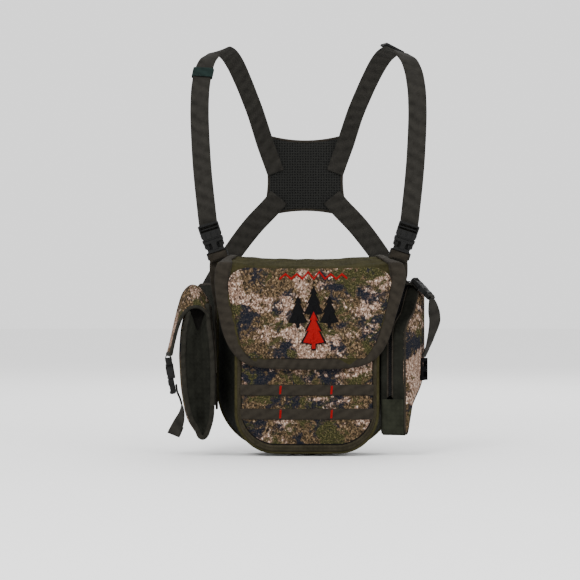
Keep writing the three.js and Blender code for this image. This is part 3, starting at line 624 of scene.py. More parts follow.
INSET = 2.7  # of the front panel, inside the piping
panel_z = np.concatenate([np.linspace(FRONT_TOP, BOTTOM + FRONT_R, 46)[:-1],
                          BOTTOM + FRONT_R - (FRONT_R - INSET) * np.sin(np.linspace(0, math.pi / 2, 26))])
panel = []
for z_row in panel_z:
    wide = u_half(z_row, FRONT_HALF - INSET, BOTTOM + INSET, FRONT_R - INSET)
    panel.append([(x, PANEL_Y - front_crown(x, z_row) - ripple((x, 0, z_row), 26, 0.7), z_row)
                  for x in wide * np.linspace(-1, 1, 61)])
panel = np.array(panel)
border = np.zeros(panel.shape[:2], bool)
border[0] = border[-1] = border[:, 0] = border[:, -1] = True
panel = soften(panel, border, -1.2, 1.4)


def panel_y(x, z):
    """The front panel's surface at a point."""
    row = np.interp(-z, -panel[:, 0, 2], range(len(panel)))
    k = min(int(row), len(panel) - 2)
    value = [np.interp(x, panel[i, :, 0], panel[i, :, 1]) for i in (k, k + 1)]
    return value[0] + (value[1] - value[0]) * (row - k) - PANEL_THICK / 2


def patch(name, box, lift, thick, look, stands_for, cols=60, rows=8):
    """A flat piece of tape sewn on the front panel: its middle lies lift above the surface."""
    x0, x1, z0, z1 = box
    grid = [[(x, panel_y(x, z) - lift, z) for x in np.linspace(x0, x1, cols)]
            for z in np.linspace(z1, z0, rows)]
    return sheet(name, grid, thick, look, "harness", stands_for)


def main_front():
    """The front panel, the cords in both seams, two rows of webbing and the patch under the lid."""
    sheet("front_panel_cloth", panel, PANEL_THICK, "camo", "harness", ["front_panel"],
          uv=panel[:, :, [0, 2]])
    for name, y, radius, sides, shape, stands_for in (
            ("front_piping_cord", -74.7, PIPING, 14,
             (FRONT_HALF - 0.6, FRONT_TOP, BOTTOM + 0.6, FRONT_R - 0.6), ["front_piping"]),
            ("front_seam_welt", -71.2, 1.8, 12,
             (FRONT_HALF + 0.1, FRONT_TOP, BOTTOM - 0.1, FRONT_R + 0.1), ()),
            ("back_piping_cord", -8.7, PIPING, 14,
             (BACK_HALF, BACK_TOP - 3, BOTTOM, BACK_R), ["back_piping"])):
        line = [(x, y, z) for x, z in u_line(*shape, 150)]
        tube(name, line, radius, "olive", "harness", stands_for, sides)
    # the band sewn along the front seam, a black cord beside it that paints the ditch's shade, and its
    # stitches
    outer = u_line(FRONT_HALF - 1.2, 40, BOTTOM + 1.2, FRONT_R - 1.2, 170)
    inner = u_line(FRONT_HALF - 5.4, 40, BOTTOM + 8.6, FRONT_R - 4.6, 170)
    band_y = lambda x, z: min(panel_y(x, z), -74.2)
    rows = [[(x, band_y(x, z) - lift, z) for x, z in outer * (1 - t) + inner * t]
            for t, lift in ((0, -0.2), (0.2, 1.0), (0.5, 1.5), (0.8, 1.3), (1, 0.5))]
    sheet("front_seam_band", rows, 1.0, "band", "harness")
    # a black cord laid on the panel along the band's inner edge: painted shade in the ditch
    ditch_shade_line = inner + (inner - outer) * 0.12
    tube("front_seam_ditch_shade", [(x, panel_y(x, z) - 0.15, z) for x, z in ditch_shade_line], 0.7, "black", "harness",
         sides=8)
    line = [(x, band_y(x, z) - 2.0, z) for x, z in outer * 0.42 + inner * 0.58]
    solids("front_panel_stitches", seam(line, (0, -1, 0), 3.2, radius=0.28), "dull", "harness")
    bars = []
    for word, z in (("upper", -39.8), ("lower", -67.5)):
        patch(f"molle_tape_{word}", (-77.3, 77.3, z - 5.8, z + 5.8), 0.85, 1.5, "tape",
              [f"molle_webbing_{word}"])
        for x in (-31, 28):
            for k in range(9):
                height, shift = z - 4.3 + k * 8.6 / 8, x + k * 0.08
                y = panel_y(x, height) - 1.75
                bars.append(stitch((shift - 1.15, y, height), (shift + 1.15, y, height + 0.4),
                                   (0, -1, 0), 0.6))
    solids("molle_bartacks", bars, "red", "harness")
    patch("loop_patch", (-32, 32, -12, 14), 0.7, 1.3, "hook", ["front_loop_patch"], cols=24, rows=12)


def puff(name, outline, place, half, look, stands_for, rows=9, count=120):
    """A flat pad inside a closed outline: two faces that roll over into one rounded edge.
    place(u, v, w) puts it in space; w is off its middle."""
    outline = spread_loop(outline, count + 1)[:-1]
    centre = outline.mean(0)
    levels = [0.0] + list(np.linspace(0.12, 0.9, rows)) + [0.955, 0.985, 1.0]
    verts, uvs = [], []
    rings = [(s, 1) for s in levels] + [(s, -1) for s in levels[-2::-1]]
    for s, face in rings:
        thickness = half * (1 - max(0.0, (s - 0.86) / 0.14) ** 2) ** 0.5 * face
        for u, v in centre + (outline - centre) * max(s, 1e-4):
            verts.append(place(u, v, thickness))
            uvs.append((u, v))
    return piece(name, verts, ring_faces(len(rings), count), look, "harness", uvs, stands_for)


def cushion(obj, cap):
    """Cloth pass over a pad: its faces swell, and points near its rim hold still."""
    rest = np.array([v.co for v in obj.data.vertices], float)
    low, high = rest.min(0), rest.max(0)
    thin = int(np.argmin(high - low))
    middle, half = (low[thin] + high[thin]) / 2, (high[thin] - low[thin]) / 2
    moved = cloth_pass(obj, np.abs(rest[:, thin] - middle) < 0.35 * half, 4.0, quality=5)
    obj.data.vertices.foreach_set("co", limited(rest, moved, cap * MM).astype(np.float32).ravel())
    obj.data.update()


def u_outline(half, top, bottom, radius, corner=8.0):
    """The pouch's outline as a closed line, with small rounded upper corners."""
    line = list(u_line(half, top - corner, bottom, radius, 90))
    for start, cx in ((0, half - corner), (math.pi / 2, corner - half)):
        line += [(cx + corner * math.cos(start + a), top - corner + corner * math.sin(start + a))
                 for a in np.linspace(0.15, math.pi / 2 - 0.15, 5)]
    return np.array(line)


def main_back():
    """The back panel and the mesh pad that lies on the chest."""
    back = u_outline(101.2, BACK_TOP, BOTTOM + 2.8, 67, 3)
    back[:, 1] -= 2.6 * np.clip(1 - (back[:, 0] / 95) ** 2, 0, 1) * (back[:, 1] > 104)
    puff("back_panel_cloth", back, lambda u, v, w: (u, BACK_PANEL_Y + w, v), 1.3, "dark", ["back_panel"])
    pad = u_outline(91.5, 103.5, -101.5, 50)
    made = puff("chest_pad_mesh", pad, lambda u, v, w: (u, CHEST_PAD_Y + w, v), 2.4, "mesh", ["chest_pad"],
                rows=16, count=150)
    cushion(made, 0.8)
    tube("chest_pad_edge", [(x, CHEST_PAD_Y, z) for x, z in spread_loop(pad, 240)], 1.5, "tape", "harness",
         sides=10, ends=False)
    grooves = []
    for x in (-46, 0, 46):
        grooves += seam([(x, -0.35, z) for z in np.linspace(-78, 92, 40)], (0, 1, 0), 3.4, radius=0.35)
    solids("chest_pad_stitches", grooves, "black", "harness")


# ---- main lid -----------------------------------------------------------------------------
LID_THICK = 2.6
lid_stations = np.array([
    # Y, Z and half width down the middle of the cloth, from the sewn edge to the flap's lower edge
    (-5.0, 105.0, 88.0), (-4.6, 110.2, 89.5), (-6.5, 114.2, 90.6), (-14.0, 114.3, 91.6),
    (-38.0, 111.0, 95.8), (-62.0, 107.4, 100.0), (-74.0, 105.9, 101.4), (-80.0, 103.4, 103.0),
    (-82.0, 97.0, 104.4), (-82.2, 86.0, 104.8), (-82.3, 74.0, 104.0), (-82.3, 62.0, 102.6),
    (-82.2, 48.0, 100.2), (-82.0, 35.0, 97.6),
    (-81.8, 22.5, 93.8), (-81.7, 12.4, 89.4), (-81.7, 4.2, 84.2), (-81.7, -2.4, 77.8), (-81.7, -7.2, 70.5),
    (-81.7, -10.5, 62.0), (-81.7, -12.3, 52.0)])
lid_line = curve(lid_stations, 110)[0]
LID_COLS = 65


def lid_point(y, z, half, u):
    """A point on the lid's middle surface: the top sags, the flap is slightly crowned."""
    top = np.clip((z - 96) / 8, 0, 1)
    sag = 3.2 * top * (1 - u * u) ** 1.2
    flare = 7.5 * np.clip((z - 35) / 52, 0, 1) ** 1.5 * np.clip((-y - 44) / 34, 0, 1) * max(u, 0) ** 2
    crown = 2.6 * (1 - u * u) * np.clip((100 - z) / 30, 0, 1)
    bow = 2.2 * (1 - u * u) * np.clip((4 - z) / 18, 0, 1)
    wrinkle = ripple((half * u, y, z), 30, 1.3) * np.clip((-y - 20) / 20, 0, 1)
    return (half * u + flare, y - crown - wrinkle, z - sag - bow)


lid = np.array([[lid_point(y, z, half, u) for u in np.linspace(-1, 1, LID_COLS)] for y, z, half in lid_line])
lid_pins = np.zeros(lid.shape[:2], bool)
SEWN_ROWS = 12  # the lid's rows on top of the back panel, which its edge tape leaves free
lid_pins[:SEWN_ROWS] = lid_pins[:, :4] = lid_pins[:, -4:] = lid_pins[-4:] = True
lid = soften(lid, lid_pins, -0.5, 0.8)
LID_BLEND = ("harness", "main_lid", (0, -0.0045, 0.112), (0, -0.018, 0.112))  # in metres
flap = np.array([row for row in lid if row[LID_COLS // 2, 2] < 101.2 and row[LID_COLS // 2, 1] < -70])


@functools.lru_cache(None)
def lid_column(x):
    """Depth and height down the flap's middle surface at x."""
    return np.array([[np.interp(x, row[:, 0], row[:, k]) for row in flap] for k in (1, 2)])


def lid_y(x, z):
    """The outer face of the lid's flap at a point."""
    depth, height = lid_column(round(x))
    return np.interp(-z, -height, depth) - LID_THICK / 2 - 0.05


TAPE_WIDTH = 12.4  # of the lid's edge tape, along its lower edge


def tape_extra(z, on_right):
    """How much wider the lid's tape shows than along its lower edge."""
    if on_right:
        return 2.4 * np.clip((z - 58) / 20, 0, 1)
    return 1.8 * np.clip((z - 5) / 30, 0, 1) + 2.4 * math.exp(-((z - 32) / 22) ** 2)


def lid_inset():
    """The camouflage panel of the lid, rounded at its upper corners."""
    top, corner, low = 102.2, 21, -2.6
    heights = np.concatenate([top - corner * (1 - np.cos(np.linspace(0, math.pi / 2, 12))),
                              np.linspace(top - corner, low, 60)[1:]])
    edge_z, edges = flap[::-1, LID_COLS // 2, 2], flap[::-1, [0, -1], 0]
    rows = []
    for z in heights:
        left, right = (np.interp(z, edge_z, edges[:, k]) + (TAPE_WIDTH + tape_extra(z, k)) * (1 - 2 * k)
                       for k in (0, 1))
        if z > top - corner:
            cut = corner - math.sqrt(max(corner ** 2 - (z - top + corner) ** 2, 0))
            left, right = left + cut, right - cut
        dip = lambda x: z - 2.4 * (1 - (x / 90) ** 2) * np.clip((z - 80) / 20, 0, 1)
        rows.append([(x, lid_y(x, dip(x)) - 0.55, dip(x)) for x in np.linspace(left, right, 71)])
    uvs = [[(x, z) for x, _, z in row] for row in rows]
    sheet("lid_camo_cloth", rows, 1.2, "camo_lid", "main_lid", ["lid_camo_panel"], uv=uvs)
    line = np.array([row[0] for row in rows][::-1] + rows[0][8:-8:8] + [row[-1] for row in rows])
    line = line + (0, -0.65, 0)
    line = line + (np.array([0, -84, 50]) - line) * (0.017, 0, 0.017)
    solids("lid_inset_stitches", seam(line, (0, -1, 0), 3.2, radius=0.3), "dull", "main_lid")


def lid_edge_tape():
    """Webbing folded over the lid's side and lower edges."""
    left, right = lid[SEWN_ROWS:, 0], lid[SEWN_ROWS:, -1][::-1]
    edge = smoothed(spread(np.concatenate([left, lid[-1][1:-1], right]), 190), 3)
    tangent = np.gradient(edge, axis=0)
    tangent /= np.linalg.norm(tangent, axis=1, keepdims=True)
    rows, stitches_at = [], []
    for p, t in zip(edge, tangent):
        if p[1] > -78:
            normal = np.array([0, -0.15, 1.0])
        elif p[2] > 93:
            normal = np.array([0, -0.75, 0.65])
        else:
            normal = np.array([0, -1.0, 0])
        normal -= t * (normal @ t)
        normal /= np.linalg.norm(normal)
        inward = np.cross(normal, t)
        middle = np.array([0, p[1], min(p[2] + 30, 60)])
        if inward @ (middle - p) < 0:
            inward = -inward
        width = TAPE_WIDTH + 2.2 * np.clip((p[2] - 5) / 60, 0, 1) - 6.5 * np.clip((p[1] + 78) / 30, 0, 1)
        width += tape_extra(p[2], p[0] > 0)
        profile = [(width, 1.75), (width * 0.66, 2.35), (width * 0.33, 2.45), (1.2, 2.2), (-1.0, 1.2),
                   (-1.4, 0), (-1.0, -1.2), (1.2, -2.1), (width * 0.4, -2.2), (width * 0.7, -2.0)]
        rows.append([p + inward * a + normal * b for a, b in profile])
        stitches_at.append(p + inward * (width - 1.6) + normal * 2.5)
    uv = [[(a, r) for a in distances(rows[60])] for r in distances(edge)]
    sheet("lid_edge_tape", rows, 1.0, "tape", "main_lid", ["lid_binding"], uv=uv)
    solids("lid_tape_stitches", seam(stitches_at[14:-14], (0, -1, 0), 3.0, radius=0.32), "dull", "main_lid")


def conifer(x, z, height, width):
    """Outline of a conifer of three tiers standing at (x, z)."""
    half = [(0.0, height)]
    trunk = 0.14 * height
    step = (height - trunk) / 3
    for k in range(3):
        low = height - step * (k + 1)
        half.append((width / 2 * (k + 1.4) / 3.4, low + 0.12 * step))
        half.append((width / 2 * (k + 0.55) / 3.4, low + 0.24 * step))
    half[-1] = (0.09 * width, trunk * 0.98)
    half.append((0.09 * width, 0.0))
    return [(x + a, z + b) for a, b in half] + [(x - a, z + b) for a, b in half[::-1][:-1]]


def satin(name, outline, look, lift, pitch):
    """Satin stitch: threads side by side that fill an outline on the lid."""
    heights = [z for _, z in outline]
    threads = []
    for z in np.arange(min(heights) + pitch / 2, max(heights), pitch):
        cuts = sorted(x0 + (z - z0) / (z1 - z0) * (x1 - x0)
                      for (x0, z0), (x1, z1) in zip(outline, outline[1:] + outline[:1])
                      if (z0 <= z) != (z1 <= z))
        for a, b in zip(cuts[::2], cuts[1::2]):
            parts = max(1, int((b - a) / 7))
            for k in range(parts):
                ends = [a + (b - a) * (k + share) / parts for share in (0, 1)]
                threads.append(stitch((ends[0], lid_y(ends[0], z) - lift, z),
                                      (ends[1], lid_y(ends[1], z) - lift, z + 0.25), (0, -1, 0), 0.42))
    solids(name, threads, look, "main_lid")


def emblem():
    """A red conifer in front of three black ones, and a ridge line above them."""
    centre, base = 7.5, 8.0
    for name, x, z, height, width, look, lift, pitch in (
            ("tree_middle", 0, 0, 43, 24, "red", 1.95, 0.62),
            ("edge_middle", 0, -2, 48, 30, "black", 1.5, 0.8),
            ("tree_left", -18, 24, 37, 22, "black", 1.4, 0.62),
            ("tree_right", 18, 24, 37, 22, "black", 1.4, 0.62),
            ("tree_rear", 0, 34, 38, 22, "black", 1.45, 0.62)):
        satin(f"emblem_{name}", conifer(centre + x, base + z, height, width), look, lift, pitch)
    line = [(centre - 39 + 6.5 * k, 88.5 + (5.5 if k % 2 else 0) + (2.5 if k in (5, 7) else 0))
            for k in range(13)]
    threads = []
    for (x0, z0), (x1, z1) in zip(line, line[1:]):
        for share in np.linspace(0, 1, 9)[:-1]:
            x, z = x0 + (x1 - x0) * share, z0 + (z1 - z0) * share
            y = lid_y(x, z) - 1.6
            threads.append(stitch((x, y, z - 1.3), (x + 0.3, y, z + 1.3), (0, -1, 0), 0.5))
    solids("emblem_ridge_line", threads, "red", "main_lid")


def main_lid():
    """The lid with all that is sewn on it, and its fastening strip behind the flap."""
    sheet("lid_cloth", lid, LID_THICK, "olive", LID_BLEND, ["lid_shell"])
    lid_inset()
    lid_edge_tape()
    emblem()
    grid = [[(x, -79.2, z) for x in np.linspace(-31.5, 31.5, 20)] for z in np.linspace(12, -9, 9)]
    sheet("lid_hook_tape", grid, 1.2, "hook", "main_lid", ["lid_hook_patch"])


# ---- shoulder straps ----------------------------------------------------------------------
RIGHT_OUT = 5.0  # how much further out the right strap and its buckle hang
BUCKLE_X, BUCKLE_Y, BUCKLE_Z = 105, -6, 116.5
BUCKLE_LEAN = math.radians(18)


def shoulder_path(side):
    """Points and width directions of a shoulder strap, from its ladder lock to the yoke."""
    first = (math.cos(BUCKLE_LEAN), 0, math.sin(BUCKLE_LEAN))
    up = lambda along: (-BUCKLE_X - first[2] * along, -1.9, BUCKLE_Z + first[0] * along)
    points = [up(25), up(35), (-119.5, -1, 178), (-123.5, 4, 215), (-126, 8, 250), (-127.5, 14, 290),
              (-126.5, 25, 320), (-122, 45, 346), (-112, 68, 363), (-101, 92, 369), (-90, 122, 360),
              (-76, 155, 332), (-62, 184, 296), (-51, 206, 262), (-43, 214.2, 240), (-38, 214.2, 226)]
    sides = [first, first, (1, 0, 0.05), (1, 0, 0), (1, 0, 0), (1, 0, 0), (1, 0.05, 0.1), (1, 0.2, 0.35),
             (1, 0.35, 0.45), (1, 0.4, 0.3), (1, 0.4, 0.15), (1, 0.4, 0.3), (1, 0.3, 0.35), (1, 0.1, 0.35),
             (1, 0, 0.35), (1, 0, 0.35)]
    if side < 0:
        return points, sides
    out = lambda y: RIGHT_OUT * np.clip((184 - y) / 116, 0, 1)
    return [(-x + out(y), y, z) for x, y, z in points], [(x, -y, -z) for x, y, z in sides]


def buckle_place(side):
    """From a shoulder buckle's own frame to the row frame."""
    sine, cosine = math.sin(side * BUCKLE_LEAN), math.cos(BUCKLE_LEAN)
    centre = -BUCKLE_X if side < 0 else BUCKLE_X + RIGHT_OUT
    return lambda u, v, w: (centre + u * cosine + w * sine, BUCKLE_Y + v, BUCKLE_Z - u * sine + w * cosine)


def bar(place, u0, u1, v0, v1, w0, w1, soft=0.4):
    """A small bar with chamfered edges in a buckle's frame."""
    verts = []
    for w, inset in ((w0, soft), (w0 + soft, 0), (w1 - soft, 0), (w1, soft)):
        a0, a1, b0, b1 = u0 + inset, u1 - inset, v0 + inset, v1 - inset
        ring = [(a0 + soft, b0), (a1 - soft, b0), (a1, b0 + soft), (a1, b1 - soft), (a1 - soft, b1),
                (a0 + soft, b1), (a0, b1 - soft), (a0, b0 + soft)]
        verts += [place(u, v, w) for u, v in ring]
    return verts, rod_faces(4, 8)


def plate(place, outline, v0, v1, soft=0.5):
    """A moulded plate: an outline in U and W, with rounded upper and lower edges."""
    outline = np.array(outline, float)
    away = outline - outline.mean(0)
    away /= np.maximum(np.linalg.norm(away, axis=1, keepdims=True), 1e-6)
    levels = ((v0, soft), (v0 + soft * 0.6, 0.12), (v0 + soft, 0),
              (v1 - soft, 0), (v1 - soft * 0.6, 0.12), (v1, soft))
    verts = [place(u, v, w) for v, inset in levels for u, w in outline - away * inset]
    return verts, rod_faces(len(levels), len(outline))


def moulded(name, place, socket, plug):
    """A side-release buckle: a waisted socket and a plug with a ladder lock.
    socket and plug are (node, body)."""
    both = lambda half: half + [(-u, w) for u, w in half[::-1]]
    rail = both([(12.2, 22.0), (12.6, 21.0), (12.6, 18.6), (11.9, 16.4), (6.0, 15.6)])
    mouth = both([(9.4, 9.0), (9.3, 7.8), (10.6, 6.4), (12.3, 5.0)])
    spine = both([(4.6, 17.5), (3.6, 15.0), (2.9, 12.0), (3.3, 9.5), (4.4, 7.5)])
    arm = [(12.3, 17.6), (11.3, 14.4), (10.5, 12.0), (9.9, 9.6), (9.7, 7.6), (7.7, 7.6), (8.0, 10.0),
           (8.6, 12.4), (9.4, 14.6), (10.2, 17.6)]
    parts = [plate(place, rail, -4.4, 4.4, 0.9), plate(place, mouth, -4.6, 4.4, 0.9),
             plate(place, spine, -5.0, 4.4, 0.8), bar(place, -11, 11, -1.5, 1.5, -1.5, 1.3),
             bar(place, -10.0, 10.0, 0.6, 3.6, 5.5, 20.0)]
    for s in (-1, 1):
        parts.append(plate(place, [(s * u, w) for u, w in arm], -4.2, 4.2, 0.7))
        parts.append(bar(place, s * 11.7 - 0.8, s * 11.7 + 0.8, -3.7, 3.7, -2.4, 5.8))
    parts.append(bar(place, -10.5, 10.5, -5.0, -4.1, 19.9, 21.3))
    solids(f"{name}_socket_body", parts, "plastic", socket[1], [socket[0]], smooth=False)
    head = both([(10.6, 30.6), (12.2, 29.6), (12.6, 27.6), (12.4, 24.2), (11.2, 22.2), (9.0, 21.6)])
    parts = [plate(place, head, -4.3, 2.2, 0.7)]
    parts += [bar(place, s * 11.5 - 1.0, s * 11.5 + 1.0, -3.9, 2.4, 29.0, 39.4, 0.6) for s in (-1, 1)]
    parts += [bar(place, -11.6, 11.6, -4.2, 2.2, 36.6, 39.9, 0.9),
              bar(place, -11, 11, -2.6, 1.2, 32.6, 34.6, 0.6)]
    parts += [bar(place, u - 0.45, u + 0.45, -4.8, -4.0, 37.0, 39.5, 0.25) for u in np.arange(-9, 9.1, 3)]
    parts += [bar(place, u - 0.5, u + 0.5, -4.9, -4.1, 23.6, 29.4, 0.3) for u in (-7, 0, 7)]
    solids(f"{name}_plug_body", parts, "plastic", plug[1], [plug[0]], smooth=False)


def shoulder(side):
    """A shoulder strap, its buckle and the tab that ties the buckle to the pouch."""
    word = "left" if side < 0 else "right"
    strap(f"shoulder_webbing_{word}", *shoulder_path(side), 21, "strap", "harness",
          [f"shoulder_strap_{word}"], steps=170, ripple=0.5)
    place = buckle_place(side)
    for node in (f"buckle_prong_inner_{word}", f"buckle_prong_outer_{word}"):
        dress(node, "plastic", 0.7)
    moulded(f"buckle_{word}", place, (f"shoulder_buckle_socket_{word}", "harness"),
            (f"shoulder_buckle_plug_{word}", "harness"))
    # the tab: flat tape sewn to the pouch, folded round the socket's bar
    steps, out = 90, 0 if side < 0 else RIGHT_OUT
    across = (math.cos(BUCKLE_LEAN), 0, -math.sin(side * BUCKLE_LEAN))
    flat = [(side * x + out * np.clip((z - 60) / 30, 0, 1), y, z)
            for x, y, z in ((94.5, -4.2, 24), (99, -4.2, 45), (103.3, -4.2, 72), (104.2, -4.2, 94),
                            (103.9, -4.3, 104))]
    fold = [(-5.4, 1.6), (-2.2, 3.4), (1.6, 3.3), (4.0, 2.0), (4.4, 0), (4.0, -2.0), (1.6, -3.3),
            (-2.2, -3.4), (-5.6, -2.6)]
    path = flat + [place(0, v, w) for w, v in fold]
    widths = [(1, 0, 0)] * 4 + [(1, 0, -0.1 * side)] + [across] * len(fold)
    at, wide = strap_frame(path, widths, steps)[:2]
    rows = []
    for i in range(len(at)):
        width = np.interp(i / steps * (len(path) - 1), (0, 1, 2, 3, 4, 5), (9, 12, 16, 20, 21.2, 21.6))
        rows.append([at[i] + wide[i] * width * a for a in np.linspace(-0.5, 0.5, 9)])
    sheet(f"strap_tab_tape_{word}", rows, 1.6, "tape", "harness", [f"strap_tab_{word}"])
    line = [place(u, -4.7, -4.6) for u in (-7.5, 7.5)]
    solids(f"strap_tab_stitches_{word}", seam(line, (0, -1, 0), 2.2, radius=0.35), "black", "harness")


def strap_pieces():
    """The keeper on the left strap and the slider on the right one."""
    points, sides = shoulder_path(-1)
    at, side, normal, tangent = (v[0] for v in strap_frame(points, sides, 1, (6.6, 6.7)))
    ring = []
    for angle in np.linspace(0, 2 * math.pi, 49)[:-1]:
        c, s = math.cos(angle), math.sin(angle)
        u = 12.1 * np.sign(c) * abs(c) ** 0.25
        v = 2.5 * np.sign(s) * abs(s) ** 0.5
        ring.append(at + side * u + normal * v)
    rows = [[p + tangent * w for p in ring] for w in np.linspace(-7, 7, 9)]
    sheet("keeper_loop", rows, 1.1, "teal", "harness", ["strap_keeper"], closed=True)
    stitches = []
    for w in (-5.6, 5.6):
        line = [at + side * reach + normal * 3.1 + tangent * w for reach in (-10, 10)]
        stitches += seam(line, normal, 2.4, radius=0.32)
    solids("keeper_stitches", stitches, "black", "harness")
    dress("strap_slider", "plastic")


# ---- wings, side straps, yoke -------------------------------------------------------------
FLARE = math.radians(22)
WING_X, WING_Y = 106, -5.8  # where a wing leaves the pouch
YOKE_Y, YOKE_Z = 219.1, 226


def wing_point(side, along, z, lift=0.0):
    """A place on a wing: how far along it, how high, and how far off its middle."""
    return (side * (WING_X + math.sin(FLARE) * along + math.cos(FLARE) * lift),
            WING_Y + math.cos(FLARE) * along - math.sin(FLARE) * lift, z)


def wing_outline():
    """A wing's outline, as places along it and heights: its lower edge slants, its upper end is round."""
    line = [(0.8, -64.5), (77, -21), (77, 52)]
    line += [(53 + 24 * math.cos(a), 59 + 23.4 * math.sin(a)) for a in np.linspace(0.1, math.pi / 2, 9)]
    line += [(30, 82.4), (18, 82.3), (9.5, 79.5), (5.2, 73), (4.3, 62), (4.2, 32), (0.8, 26)]
    return np.array(line)


def wing(side):
    """A wing with its edge tape, and the side strap sewn on it that runs round to the yoke."""
    word = "left" if side < 0 else "right"
    outline = wing_outline()
    place = lambda u, v, w=0.0: wing_point(side, u, v, w)
    puff(f"wing_cloth_{word}", outline, place, 1.5, "dark", [f"wing_{word}"])
    rim = spread_loop(outline, 200)[12:]
    tube(f"wing_edge_{word}", [place(u, v) for u, v in rim], 1.5, "tape", "harness", sides=10)
    lap = 2.4  # the side strap's middle, off the wing's
    points = [place(along, 15, lap) for along in (18, 45, 72, 80)]
    points += [(side * x, y, z)
               for x, y, z in ((143, 96, 17), (143, 128, 30), (128, 164, 66), (100, 191, 112),
                               (68, 207, 156), (44, 214.2, 182), (34, 214.2, 194))]
    sides = [(0, 0, 1)] * 5 + [(0, -0.3, 1), (side * 0.35, -0.45, 0.8), (side * 0.55, -0.3, 0.75),
                               (side * 0.65, -0.1, 0.7), (side * 0.65, 0, 0.72), (side * 0.75, 0, 0.65)]
    strap(f"side_webbing_{word}", points, sides, 25, "strap", "harness", [f"side_strap_{word}"], steps=120,
          cup=0.2)
    marks = []
    for ends in (((8, 5), (20, 25)), ((8, 25), (20, 5)), ((8, 5), (8, 25)), ((20, 5), (20, 25))):
        line = [place(along, z, lap + 0.95) for along, z in ends]
        marks += seam(line, (side * math.cos(FLARE), -math.sin(FLARE), 0), 2.6, radius=0.35)
    solids(f"side_strap_stitches_{word}", marks, "black", "harness")
    dress(f"side_slider_{word}", "plastic")


def bezier(a, c, b, count=12):
    """A curve from a to b that bends towards c, without its last point."""
    t = np.linspace(0, 1, count)[:, None]
    a, c, b = (np.array(p, float) for p in (a, c, b))
    return list((1 - t) ** 2 * a + 2 * t * (1 - t) * c + t ** 2 * b)[:-1]


def yoke():
    """The pad on the wearer's back, with hollow sides and rounded corners, and its edge tape."""
    corners = [((-38, -52), (0, -44), (38, -52)), ((38, -52), (50, -50), (50, -38)),
               ((50, -38), (42, 0), (56, 34)), ((56, 34), (56, 46), (46, 46)),
               ((46, 46), (0, 34), (-46, 46)), ((-46, 46), (-56, 46), (-56, 34)),
               ((-56, 34), (-42, 0), (-50, -38)), ((-50, -38), (-50, -50), (-38, -52))]
    outline = np.array([p for part in corners for p in bezier(*part)])
    place = lambda u, v, w=0.0: (u, YOKE_Y + w, YOKE_Z + v)
    made = puff("yoke_pad_mesh", outline * 0.99, place, 2.6, "mesh", ["yoke_pad"], rows=12)
    cushion(made, 0.9)
    tube("yoke_edge", [place(u, v) for u, v in spread_loop(outline * 0.985, 220)], 1.9, "tape", "harness",
         sides=10, ends=False)


# ---- left pouch ---------------------------------------------------------------------------
LEAF_BACK = [(-117, 58), (-114.6, 32), (-111.4, 6), (-110.4, -20), (-110.7, -47), (-112.2, -74),
             (-116.5, -88)]
LEAF_FRONT = [(-141.5, 50), (-145.8, 30), (-147.7, 4), (-147.4, -14), (-144.6, -47), (-138.5, -74),
              (-130, -88)]
LEAF_TIP = (-123.4, -96.6)
LID_ARCH = [(-117.5, 63), (-122.5, 71), (-129, 78.5), (-137, 80.5), (-145, 73), (-150.5, 58), (-155.5, 38),
            (-160.2, 17), (-164, 2)]
LID_BROW = [(-117, 46), (-120.2, 51), (-125.6, 55.4), (-132.2, 57), (-140.2, 54.5), (-146.8, 47),
            (-152.6, 33), (-156.6, 18), (-160, 3)]
LEFT_TURN, LEFT_CORNER = math.radians(2.5), (-110, -4)
LEFT_FRONT, LEFT_REAR = -76, -8


def left_place(x, y, z):
    """The left pouch stands slightly turned about its rear inner corner."""
    u, v = x - LEFT_CORNER[0], y - LEFT_CORNER[1]
    c, s = math.cos(LEFT_TURN), math.sin(LEFT_TURN)
    return (LEFT_CORNER[0] + u * c - v * s, LEFT_CORNER[1] + u * s + v * c, z)


def left_line(points, count):
    """A leaf edge line as places (x, z)."""
    return spread(curve([(x, 0, z) for x, z in points], 60)[0][:, [0, 2]], count)


def left_faces():
    """The back and front panels."""
    width = np.linspace(LEFT_FRONT + 4, LEFT_REAR - 4, 24)
    for name, leaf, look, node, out in (
            ("left_back_cloth", LEAF_BACK, "dark", "left_back_panel", 0.0),
            ("left_front_cloth", LEAF_FRONT, "camo_left", "left_front_panel", 1.6)):
        rows, uvs = [], []
        for x, z in left_line(leaf, 60):
            swell = lambda y: out * (1 - ((y + 42) / 31) ** 2) + ripple((x, y, z), 22, 0.5, 9) * (out > 0)
            rows.append([left_place(x - swell(y), y, z) for y in width])
            uvs.append([(y, z) for y in width])
        sheet(name, rows, 2.6, look, "left_pouch", [node], uv=uvs)


